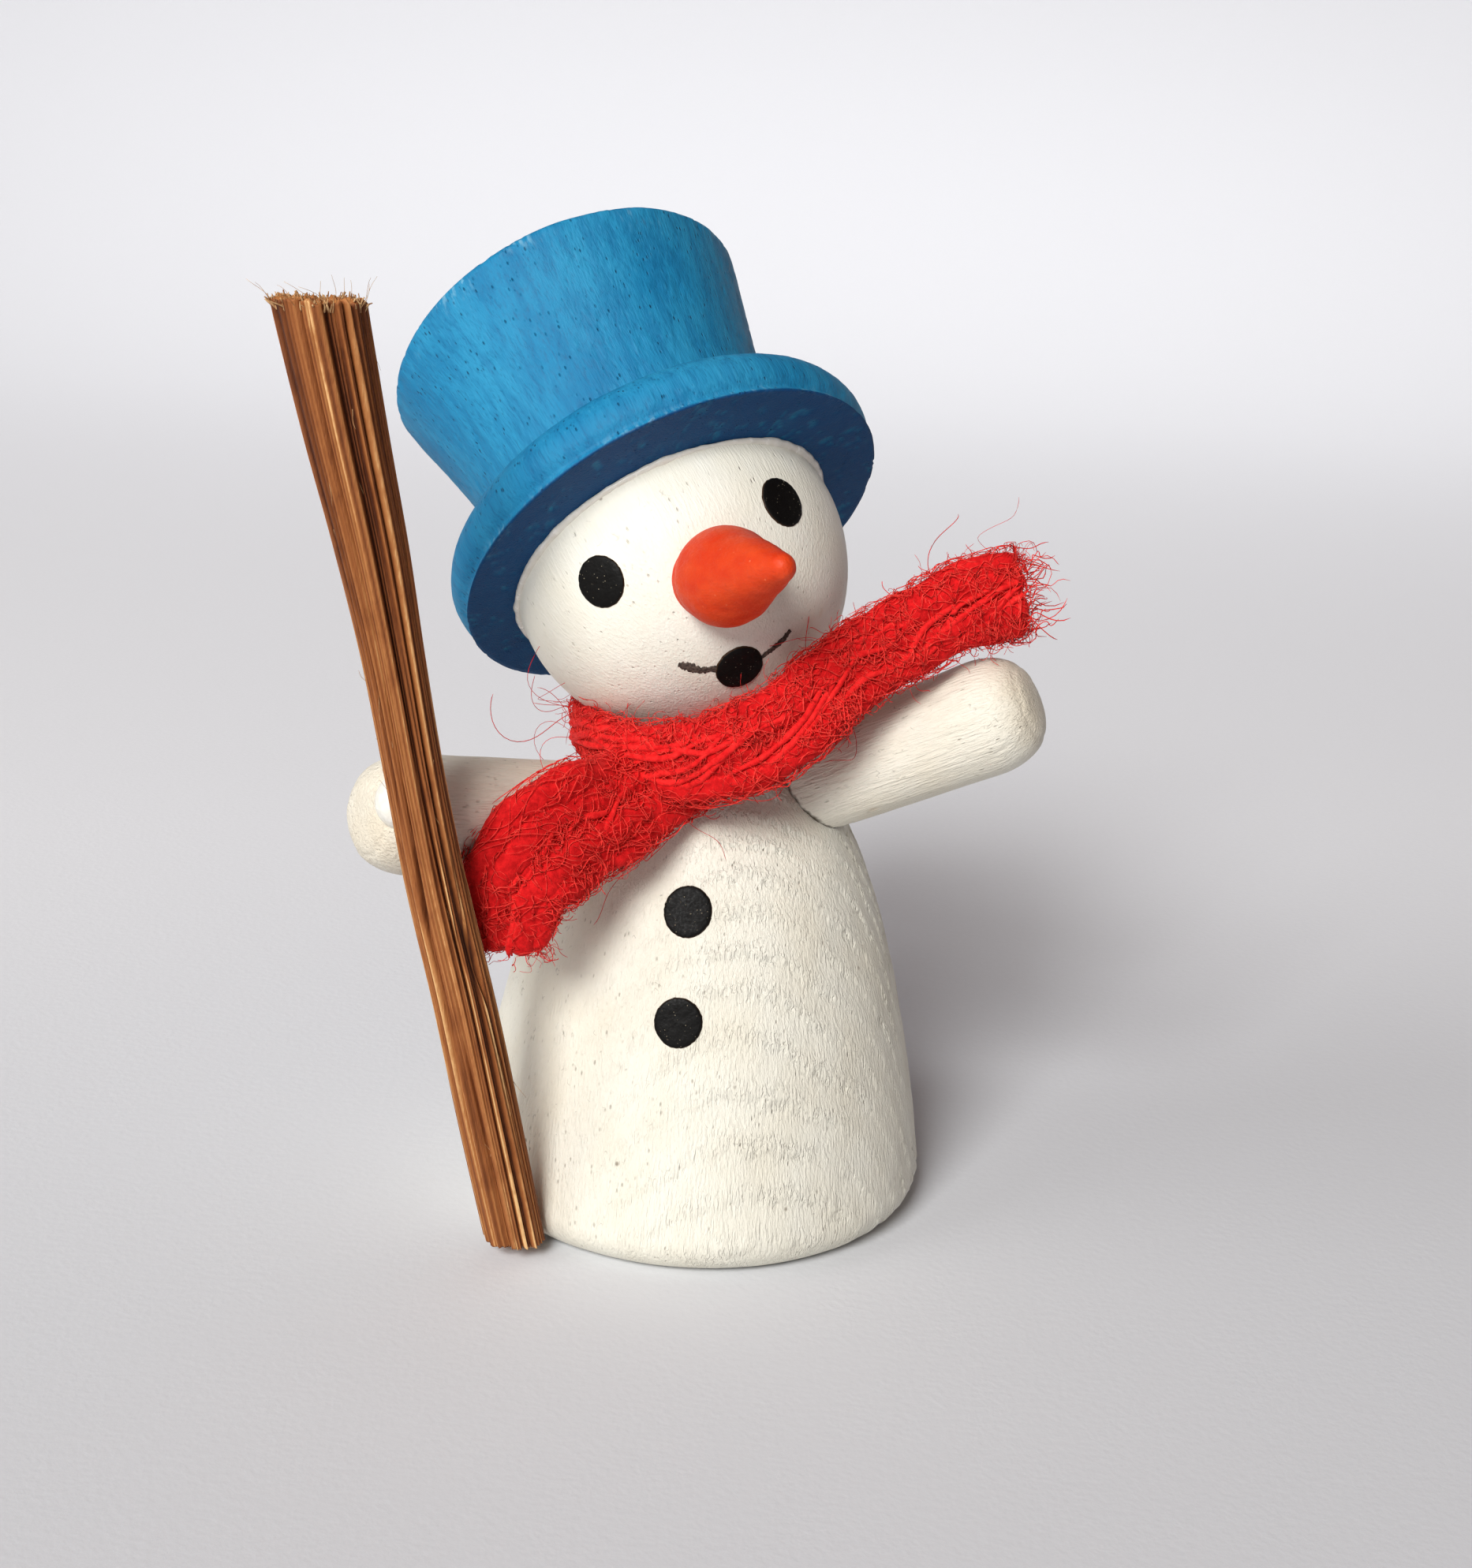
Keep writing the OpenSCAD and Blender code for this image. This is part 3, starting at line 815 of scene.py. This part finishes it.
def make_dots(head_place):
    black = dot_paint()
    dots = [
        ("eye_left", ball_surface(-EYE_SIDE, EYE_RISE), 101, EYE_TALL, head_place),
        ("eye_right", ball_surface(EYE_SIDE, EYE_RISE), 111, EYE_TALL, head_place),
        ("mouth_dot", ball_surface(*MOUTH_AT), 121, 1.0, head_place),
    ]
    for i, (name, z) in enumerate(BUTTON_HEIGHTS.items()):
        dots.append((name, body_surface(z), 141 + 10 * i, 1.0, None))
    for name, surface, seed, tall, place in dots:
        points, polygons, rims = dot_mesh(surface, seed, tall)
        piece = mesh_piece(f"painted_{name}", points, polygons, black, place, [name])
        set_attribute(piece, "rim", rims)


def stroke(places, widths, seed):
    """A drawn stroke on the ball through (turn, rise) places: a thin ribbon with ragged edges."""
    count, lanes = 90, 9
    out = front_way(*smooth_route(places, count).T)
    aside = units(np.cross(np.gradient(out, axis=0), out))
    width = np.interp(np.linspace(0, 1, count), np.linspace(0, 1, len(widths)), widths)
    along = np.linspace(0, 30, count)
    lane = np.linspace(-1, 1, lanes)
    edges = [np.column_stack([along, [[side, seed]] * count]) for side in (0.0, 7.0)]
    rough = [1 + 0.28 * layered_noise(edge, seed, 2)[:, None] for edge in edges]
    reach = np.where(lane[None] < 0, *rough) * width[:, None] * lane[None]
    top = units(out[:, None] + aside[:, None] * reach[..., None] / HEAD_R)
    height = 0.045 * np.sqrt(1 - 0.9 * lane**2)[None, :, None]
    points = np.concatenate([top * (HEAD_R + height), top * (HEAD_R - 0.1)]).reshape(-1, 3)
    index = np.arange(count * lanes).reshape(count, lanes)
    under = index + count * lanes
    quads = [
        np.stack([index[:-1, :-1], index[:-1, 1:], index[1:, 1:], index[1:, :-1]], 2),
        np.stack([under[:-1, :-1], under[1:, :-1], under[1:, 1:], under[:-1, 1:]], 2),
    ]
    sides = [(index[:, 0], under[:, 0]), (under[:, -1], index[:, -1])]
    ends = [(under[0], index[0]), (index[-1], under[-1])]
    for a, b in sides + ends:
        quads.append(np.stack([a[:-1], a[1:], b[1:], b[:-1]], 1))
    return points, np.concatenate([q.reshape(-1, 4) for q in quads])


def make_mouth(head_place):
    """A thick rough stroke on one side of the mouth dot and a thinner, curling one on the other."""
    left_places = [(-36, -53), (-33, -56), (-29, -60), (-22, -62.5), (-13, -66.5)]
    left, left_quads = stroke(left_places, [0.13, 0.3, 0.19, 0.22, 0.14], 161)
    right_places = [(10, -67.5), (17, -66.5), (26, -64.5), (33, -62), (38, -58.5)]
    right, right_quads = stroke(right_places, [0.13, 0.14, 0.17, 0.18, 0.14], 171)
    points = np.concatenate([left, right])
    quads = np.concatenate([left_quads, right_quads + len(left)])
    ink = marker_paint()
    mesh_piece("mouth_strokes", points, [quads], ink, head_place, ["mouth_lines"])


# ---------------------------------------------------------------- glue


def make_glue(head_place):
    """A thin uneven bead round the head under the brim, and a drop between hand and broom."""
    glue = clear_glue()
    count, sides = 300, 12
    ring = np.column_stack([circle(count), np.zeros(count)])
    seat = math.sqrt(HEAD_R**2 - HEAD_CUT**2)
    size = 0.34 + 0.12 * layered_noise(ring * 2.2, 181, 2) + 0.05 * layered_noise(ring * 16, 183, 2)
    turn = circle(sides)
    out = seat - 0.02 + size[:, None] * turn[:, 0]
    high = HEAD_CUT - 0.12 + size[:, None] * turn[:, 1] * 0.8
    points = ring[:, None] * out[..., None] + np.array([0, 0, 1]) * high[..., None]
    index = np.arange(count * sides).reshape(count, sides)
    ahead, turned = np.roll(index, -1, axis=0), np.roll(index, -1, axis=1)
    quads = np.stack([index, ahead, np.roll(ahead, -1, axis=1), turned], 2).reshape(-1, 4)
    points = points.reshape(-1, 3)
    mesh_piece("hat_glue_bead", points, [quads], glue, head_place, ["hat_glue"])
    for name in ("neck_glue", "hand_glue"):
        data = nodes[name].data
        data.materials.clear()
        data.materials.append(glue)


# ---------------------------------------------------------------- broom


def make_broom():
    """A bundle of long stiff fibres: ribs that wander and merge, a cut foot, a frayed top."""
    rows, around = 330, 260
    route = smooth_route([[z, *middle, *half] for z, middle, half in BROOM], rows)
    z, middle, half = route[:, 0], route[:, 1:3], route[:, 3:5]
    along = np.repeat(z, around)
    round_it = np.tile(circle(around), (rows, 1))

    def streaks(across_size, along_size, seed):
        return lattice_noise(np.column_stack([round_it * across_size, along * along_size]), seed)

    wide = streaks(2.6, 0.035, 201)
    ribs = streaks(3.6, 0.022, 203)
    narrow = streaks(9.5, 0.022, 205)
    fine = streaks(23, 0.06, 207)
    shade = streaks(6.5, 0.018, 208)
    deep = smooth_step(0.14, 0.02, np.abs(ribs))
    shallow = smooth_step(0.13, 0.02, np.abs(narrow))
    rise = 0.16 * wide + 0.14 + 0.25 * np.abs(ribs) - 0.34 * deep - 0.18 * shallow + 0.05 * fine
    reach = np.repeat(half, around, axis=0)
    flat = np.repeat(middle, around, axis=0) + round_it * (reach + rise[:, None])
    ragged = 0.12 * layered_noise(np.column_stack([round_it * 6, np.zeros(len(round_it))]), 209, 2)
    near_top = smooth_step(z[-1] - 1.2, z[-1], along)
    height = along + near_top * (ragged + 0.06)
    near_foot = smooth_step(BROOM[0][0] + 1.0, BROOM[0][0], along)
    height = np.maximum(height + near_foot * np.abs(ragged), 0.05)
    points = np.column_stack([flat, height])
    index = np.arange(rows * around).reshape(rows, around)
    quads, triangles = [bands(index[:-1], index[1:])], []
    # The cut ends: rings that shrink to the middle, with broken fibres as lumps
    for end, sign in ((0, -1), (rows - 1, 1)):
        rim = points[index[end]]
        centre = rim.mean(0)
        share = np.linspace(1, 0, 12)[1:-1]
        inner = (centre + (rim - centre) * share[:, None, None]).reshape(-1, 3)
        lumps = 0.22 * layered_noise(inner * [3.2, 3.2, 0], 211 + sign, 3)
        inner[:, 2] = np.maximum(inner[:, 2] + lumps * (1 if sign > 0 else 0.5), 0.05)
        start, last = len(points), len(points) + len(inner)
        points = np.vstack([points, inner, centre])
        chain = np.vstack([index[end], np.arange(start, last).reshape(-1, around)])
        quads.append(bands(chain[:-1], chain[1:])[:, ::sign])
        triangles.append(fan(last, chain[-1])[:, ::sign])
    polygons = [np.concatenate(quads), np.concatenate(triangles)]
    fibre = broom_fibre()
    piece = mesh_piece("broom_bundle", points, polygons, fibre, None, ["broom"])
    pale = np.full(len(points), 0.7)
    # The paleness: the fibres' own tone varying at random, painted shade in the grooves, painted
    # highlights along the thin pale streaks called worn, and a touch darker towards the top.
    worn = smooth_step(0.35, 0.75, streaks(13, 0.05, 216))
    pale[: rows * around] = (
        0.5 + 0.22 * shade + 0.34 * fine - 0.4 * deep - 0.2 * shallow + 0.3 * worn
        - 0.08 * smooth_step(36, 52, along)
    )
    set_attribute(piece, "pale", pale)
    make_broom_hairs(route)


def make_broom_hairs(route):
    """Pale broken fibres that stand up at the top, and stray ones along the sides and foot."""
    random = np.random.default_rng(221)
    lines, radii = [], []
    steps = np.linspace(0, 1, 9)[:, None]
    lean = units(np.array([-0.14, -0.235, 1.0]))

    def add(start, way, length, curl, radius):
        side = units(np.cross(way, random.normal(size=3)))
        bend = curl * length * steps**2
        wave = 0.06 * length * np.sin(steps * random.uniform(3, 7) + random.uniform(0, 6))
        lines.append(start + way * length * steps + side * (bend + wave))
        radii.append(radius * (1 - 0.6 * steps[:, 0]))

    def spot(row, share, lift):
        """A place at this row of the route, its share of the way out at the present angle."""
        x, y = row[3] * share * math.cos(angle), row[4] * share * math.sin(angle)
        return np.array([row[1] + x, row[2] + y, row[0] + lift])

    between = random.uniform
    foot, top = route[0], route[-1]
    for _ in range(190):
        angle, share = between(0, 2 * math.pi), math.sqrt(between(0.15, 1.05))
        outward = np.array([math.cos(angle), math.sin(angle), 0]) * 0.45 * share
        way = units(lean + outward + random.normal(0, 0.22, 3))
        strand = between(0.4, 0.85), between(-0.4, 0.4), between(0.04, 0.1)
        add(spot(top, share, -0.35), way, *strand)
    for _ in range(14):
        angle = between(0, 2 * math.pi)
        way = units(lean + np.array([math.cos(angle), math.sin(angle), 0.2]) * 0.6)
        add(spot(top, 0.97, -0.3), way, between(1.2, 2.0), between(-0.6, 0.6), 0.018)
    for _ in range(60):
        angle, share = between(0, 2 * math.pi), math.sqrt(between(0.4, 1))
        way = units(np.array([0.3 * math.cos(angle), 0.3 * math.sin(angle), -1]))
        strand = between(0.3, 0.5), between(-0.2, 0.2), between(0.02, 0.035)
        add(spot(foot, share, 0.35), way, *strand)
    for _ in range(46):
        row = route[random.integers(8, len(route) - 8)]
        angle = between(0, 2 * math.pi)
        out = np.array([math.cos(angle), math.sin(angle), 0])
        start = row[[1, 2, 0]] + np.array([row[3] - 0.04, row[4] - 0.04, 0]) * out
        way = units(lean * random.choice([-1, 1]) + out * between(0.06, 0.4))
        strand = between(0.9, 2.6), between(-0.1, 0.25), between(0.012, 0.022)
        add(start, way, *strand)
    points, polygons = tubes(np.array(lines), np.array(radii), 5)
    points[:, 2] = np.maximum(points[:, 2], 0.03)
    mesh_piece("broom_hairs", points, polygons, broom_hair())


# ---------------------------------------------------------------- scarf


def scarf_frame(count):
    """The scarf's middle line, the ways across and out of it, and its half width, at even steps."""
    rows = smooth_route([[*place, *face, spread] for place, face, spread in SCARF], count)
    middle, face, half = rows[:, :3], rows[:, 3:6], rows[:, 6] * SCARF_W / 2 * FUZZ_ROOM
    way = units(np.gradient(middle, axis=0))
    face = units(face - (face * way).sum(1, keepdims=True) * way)
    return middle, np.cross(way, face), face, half


PLIES = 5
PLY_R = 0.66
PLY_FLAT = 1.3
# How much of the scarf's width is plies, the rest being fuzz
FUZZ_ROOM = 0.92


def ply_lines(count):
    """Each ply's own middle line, side by side across the scarf, with a slow wander."""
    middle, across, face, half = scarf_frame(count)
    share = np.linspace(0, 1, count)
    lines = []
    for k in range(PLIES):
        offset = (k - (PLIES - 1) / 2) / ((PLIES - 1) / 2)
        seed = 301 + 7 * k
        wander = np.stack([share * 14, np.full(count, k * 3.3), np.zeros(count)], 1)
        aside = offset * (half - 0.6) + 0.16 * lattice_noise(wander, seed)
        lift = 0.2 * lattice_noise(wander + 50, seed + 1) + 0.14 * (k % 2) - 0.07
        lines.append(middle + across * aside[:, None] + face * lift[:, None])
    return np.array(lines), across, face, half


def make_scarf():
    """One flat length of brushed wool: five soft plies, their fibres, and loose curly fuzz."""
    count, sides = 660, 28
    lines, across, face, half = ply_lines(count)
    cut = [0.004, 0.0, 0.006, 0.001, 0.009]
    angle = 2 * math.pi * np.arange(sides) / sides
    points, quads, fans, offset = [], [], [], 0
    red = wool("scarf_wool", (182, 10, 14), (224, 26, 28))
    for k, line in enumerate(lines):
        line = smooth_route(line[int(cut[k] * count) : count - int(cut[-1 - k] * count)], count)
        way = units(np.gradient(line, axis=0))
        first = units(np.cross(way, face))
        second = np.cross(first, way)
        walked = np.concatenate([[0], np.cumsum(np.linalg.norm(np.diff(line, axis=0), axis=1))])
        ring = PLY_FLAT * first[:, None] * np.cos(angle)[:, None]
        ring = ring + second[:, None] * np.sin(angle)[:, None]
        flat = np.column_stack([
            np.repeat(walked * 0.9, sides),
            np.tile(np.cos(angle) * 1.3, count) + k * 5,
            np.tile(np.sin(angle) * 1.3, count),
        ])
        lumps = layered_noise(flat, 331 + k, 4).reshape(count, sides)
        strands = np.cos(2 * angle[None] + walked[:, None] * 1.6 + k)
        size = PLY_R * (half / half.mean())[:, None] ** 0.8 * (1 + 0.08 * strands + 0.1 * lumps)
        taper = np.minimum(np.minimum(walked, walked[-1] - walked) / 0.5, 1)[:, None] ** 0.5
        reach = (size * (0.35 + 0.65 * taper))[..., None]
        points.append((line[:, None] + ring * reach).reshape(-1, 3))
        points.append(np.array([line[0] - way[0] * 0.1, line[-1] + way[-1] * 0.1]))
        index = np.arange(count * sides).reshape(count, sides) + offset
        quads.append(bands(index[:-1], index[1:]))
        offset += count * sides + 2
        fans += [fan(offset - 2, index[0])[:, [0, 2, 1]], fan(offset - 1, index[-1])]
    points, polygons = np.concatenate(points), [np.concatenate(quads), np.concatenate(fans)]
    scarf = mesh_piece("scarf_plies", points, polygons, red, None, ["scarf"])
    strands = make_scarf_strands(across, face, half)
    fibres = [make_scarf_fibres(f"scarf_fibres_{k}", 401 + k, lines, face, half) for k in (0, 1)]
    fuzz = [make_scarf_fuzz(f"scarf_fuzz_{k}", 431 + k, lines, across, face, half) for k in (0, 1)]


def make_scarf_strands(across, face, half):
    """Long loose strands that wind slowly round the plies, as they came out of the twist."""
    amount, count = 22, 420
    rows = np.linspace(0, len(half) - 1, count)
    low = rows.astype(int)
    middle = scarf_frame(len(half))[0][low]
    share = np.linspace(0, 1, count)
    lines, radii = [], []
    for k in range(amount):
        seed = 351 + 5 * k
        along = np.stack([share * 16, np.full(count, k * 2.7), np.zeros(count)], 1)
        wind = 2 * math.pi * k / amount + 9 * share + 0.7 * layered_noise(along, seed, 2)
        ripple = lattice_noise(along * [4, 1, 1], seed + 1)
        wide = half[low] - 0.3 + 0.14 * ripple
        thick = 0.74 + 0.12 * lattice_noise(along * [3, 1, 1], seed + 2)
        line = middle + across[low] * (wide * np.cos(wind))[:, None]
        line = line + face[low] * (thick * np.sin(wind))[:, None]
        cut = (k * 7) % 5
        lines.append(smooth_route(line[cut : count - (k * 3) % 6], count))
        size = 0.18 + 0.05 * lattice_noise(along * [5, 1, 1], seed + 3)
        tip = np.clip(np.minimum(np.arange(count), np.arange(count)[::-1]) / 5, 0.3, 1)
        radii.append(size * tip)
    points, polygons = tubes(np.array(lines), np.array(radii), 8)
    red = wool("scarf_strands", (208, 16, 20), (244, 42, 40))
    return mesh_piece("scarf_strands", points, polygons, red)


def make_scarf_fibres(name, seed, lines, face, half):
    """Curly fibres that lie on the plies, half sunk in them, each wandering its own way."""
    random = np.random.default_rng(seed)
    plies, count = lines.shape[:2]
    amount, steps = 1900, 18
    spacing = np.linalg.norm(np.diff(lines[0], axis=0), axis=1).mean()
    t = np.linspace(0, 1, steps)
    made = np.empty((amount, steps, 3))
    radii = np.empty((amount, steps))
    for i in range(amount):
        line = lines[random.integers(plies)]
        length = random.uniform(2, 5.5)
        slant = random.normal(0, 0.38)
        curl, beat = random.uniform(0.1, 0.4), random.uniform(7, 20)
        phase, other = random.uniform(0, 6.3, 2)
        walked = length * t * math.cos(slant) + curl * np.sin(beat * t + phase)
        turned = length * t * math.sin(slant) + curl * np.cos(beat * t + other)
        start = random.uniform(0, count * spacing - length * 0.5)
        at = np.clip((start + walked) / spacing, 0, count - 1.001)
        over = start + walked - at * spacing
        low = at.astype(int)
        part = (at - low)[:, None]
        centre = line[low] * (1 - part) + line[low + 1] * part
        way = units(line[low + 1] - line[low])
        first = units(np.cross(way, face[low]))
        second = np.cross(first, way)
        size = PLY_R * (half[low] / half.mean()) ** 0.8
        wind = random.uniform(0, 2 * math.pi) + turned / size
        lift = random.uniform(0.0, 0.3) + 0.06 * np.sin(beat * 0.7 * t + other)
        ring = PLY_FLAT * first * np.cos(wind)[:, None] + second * np.sin(wind)[:, None]
        made[i] = centre + ring * (size + lift)[:, None] + way * over[:, None]
        radii[i] = random.uniform(0.02, 0.04)
        radii[i, [0, -1]] *= 0.3
    points, polygons = tubes(made, radii, 3)
    # Lighter than the plies' red: partly the wool's own colour, partly painted light standing in
    # for light that passes through the thin fibres.
    red = wool(name, (222, 26, 26), (250, 72, 62))
    return mesh_piece(name, points, polygons, red)


def make_scarf_fuzz(name, seed, lines, across, face, half):
    """Loose curls that stand off the scarf: many short ones, and a few long hairs."""
    random = np.random.default_rng(seed)
    count = lines.shape[1]
    amount, steps = 1250, 22
    made = np.empty((amount, steps, 3))
    radii = np.empty((amount, steps))
    t = np.linspace(0, 1, steps)[:, None]
    middle = lines.mean(0)
    ways = units(np.gradient(middle, axis=0))
    for i in range(amount):
        low = random.integers(0, count)
        stray = i % 130 == 3
        if i % 29 == 0:
            low = random.integers(count - 10, count) if i % 58 else random.integers(0, 10)
        elif stray:
            low = random.integers(int(0.56 * count), int(0.66 * count))
        # Most curls stand along the two edges, as combed wool does
        angle = random.normal(0 if random.uniform() < 0.5 else math.pi, 0.7)
        out = across[low] * math.cos(angle) + face[low] * math.sin(angle)
        start = middle[low] + across[low] * (half[low] - 0.15) * math.cos(angle)
        start = start + face[low] * 0.65 * math.sin(angle)
        length = random.uniform(4, 7) if random.uniform() < 0.012 else random.uniform(0.6, 2.4)
        if stray:
            length = random.uniform(5, 10)
            out = units(np.array([-1, -0.5, random.uniform(-0.1, 0.5)]))
        lean = units(ways[low] * random.normal(0, 0.9) + out * random.uniform(0.2, 0.9))
        side = units(np.cross(lean, random.normal(size=3)))
        third = np.cross(lean, side)
        # The direction of the hair turns as it goes, now one way and now the other
        turn = random.normal(0, 3.2) * t + random.uniform(0.3, 1.6) * np.sin(
            random.uniform(3, 9) * t + random.uniform(0, 6)
        )
        tip = random.normal(0, 0.8) * t + 0.5 * np.sin(random.uniform(3, 8) * t)
        heading = lean * np.cos(turn) * np.cos(tip) + side * np.sin(turn) * np.cos(tip)
        heading = heading + third * np.sin(tip)
        made[i] = start + np.cumsum(heading, axis=0) * length / steps
        radii[i] = random.uniform(0.014, 0.028)
        radii[i, -1] *= 0.4
    points, polygons = tubes(made, radii, 3)
    points[:, 2] = np.maximum(points[:, 2], 0.1)
    red = wool(name, (196, 20, 24), (238, 58, 52))
    return mesh_piece(name, points, polygons, red)


# ---------------------------------------------------------------- stage and light


def make_stage():
    """A pale paper floor that curves up into a wall all round, far from the figure."""
    bend = np.radians(np.arange(6, 73, 6))
    radii = np.concatenate([np.linspace(0, 0.45, 6), 0.45 + 0.6 * np.sin(bend)])
    heights = np.concatenate([np.zeros(6), 0.6 * (1 - np.cos(bend))])
    around = 96
    high = np.repeat(heights[:, None, None], around, axis=1)
    points = np.concatenate([radii[:, None, None] * circle(around), high], axis=2).reshape(-1, 3)
    index = np.arange(len(radii) * around).reshape(len(radii), around)
    turned = np.roll(index, -1, axis=1)
    quads = np.stack([index[:-1], index[1:], turned[1:], turned[:-1]], 2).reshape(-1, 4)
    mesh = bpy.data.meshes.new("paper")
    mesh.from_pydata(points.tolist(), [], quads.tolist())
    mesh.polygons.foreach_set("use_smooth", np.ones(len(quads), bool))
    looks = Looks("paper", Roughness=0.9, Specular_IOR_Level=0.1)
    tooth = looks.noise((0.5, 0.5, 0.5), 3)
    # The paper is a touch darker in front and to the right than far behind: painted shade where
    # less light falls.
    split = looks.node("ShaderNodeSeparateXYZ")
    looks.link(looks.place, split.inputs[0])
    lean = looks.times(split.outputs["X"], -0.35)
    far = looks.add(looks.add(split.outputs["Y"], lean), 0.05)
    far = looks.ramp(looks.times(far, 7), (0.0, 0.0), (1.0, 1.0), smooth=True)
    colour = looks.mix(far, tint(215, 217, 221), tint(242, 244, 248))
    colour = looks.layers(colour, (tooth, 0.1, (190, 190, 194)))
    mesh.materials.append(looks.finish(colour, tooth, 0.02))
    paper = bpy.data.objects.new("paper", mesh)
    scene.collection.objects.link(paper)


def make_lamp(name, place, aim, size, energy, colour, spread):
    """A soft light, its width and height given, at a place and facing another, in metres; spread
    narrows its beam, in degrees."""
    data = bpy.data.lights.new(name, "AREA")
    data.shape = "RECTANGLE"
    data.size, data.size_y = size
    data.energy, data.color = energy, colour
    data.spread = math.radians(spread)
    lamp = bpy.data.objects.new(name, data)
    scene.collection.objects.link(lamp)
    lamp.location = place
    lamp.rotation_mode = "QUATERNION"
    lamp.rotation_quaternion = (Vector(place) - Vector(aim)).to_track_quat("Z", "Y")


def from_the_left(turn, rise, distance):
    """A place turned from the front to the viewer's left, and raised, in degrees."""
    turn, rise = math.radians(turn), math.radians(rise)
    return Vector((-math.sin(turn), -math.cos(turn), math.tan(rise))).normalized() * distance


def make_light():
    """A window in front and a weaker one to the viewer's left, a lamp for the backdrop, and a dim
    warm room."""
    world = bpy.data.worlds.new("room")
    world.use_nodes = True
    background = world.node_tree.nodes["Background"]
    background.inputs["Color"].default_value = (1.0, 0.42, 0.28, 1)
    background.inputs["Strength"].default_value = 0.055
    scene.world = world
    window, side_window = from_the_left(15, 36, 0.9), from_the_left(62, 32, 0.9)
    daylight, cool = (1.0, 0.995, 0.98), (0.98, 0.99, 1.0)
    make_lamp("window", window, (0.05, 0.35, 0), (0.34, 0.34), 3.3, daylight, 110)
    make_lamp("side_window", side_window, (0.2, 0.2, 0), (0.45, 0.45), 0.8, daylight, 110)
    make_lamp("backdrop", (-0.08, 0.5, 0.9), (-0.08, 0.68, 0), (1.0, 0.5), 1.6, cool, 80)
    scene.view_settings.view_transform = "Standard"


# ---------------------------------------------------------------- the scene

make_camera()
make_scarf()
head_place = placed(HEAD_TURN, HEAD_POS)
hat_place = head_place @ Matrix.Translation(Vector((*HAT_SHIFT, HEAD_CUT)) * MM)
make_body()
make_head(head_place)
make_hat(hat_place)
make_nose(nose_matrix(head_place))
make_dots(head_place)
make_mouth(head_place)
arm_white = painted_wood("painted_arms", tint(238, 234, 220), tint(233, 226, 208), 0.8)
for name, (side, rise, forward, length, seed) in ARMS.items():
    make_arm(name, arm_place(side, rise, forward), length, seed, arm_white)
make_glue(head_place)
make_broom()
make_stage()
make_light()
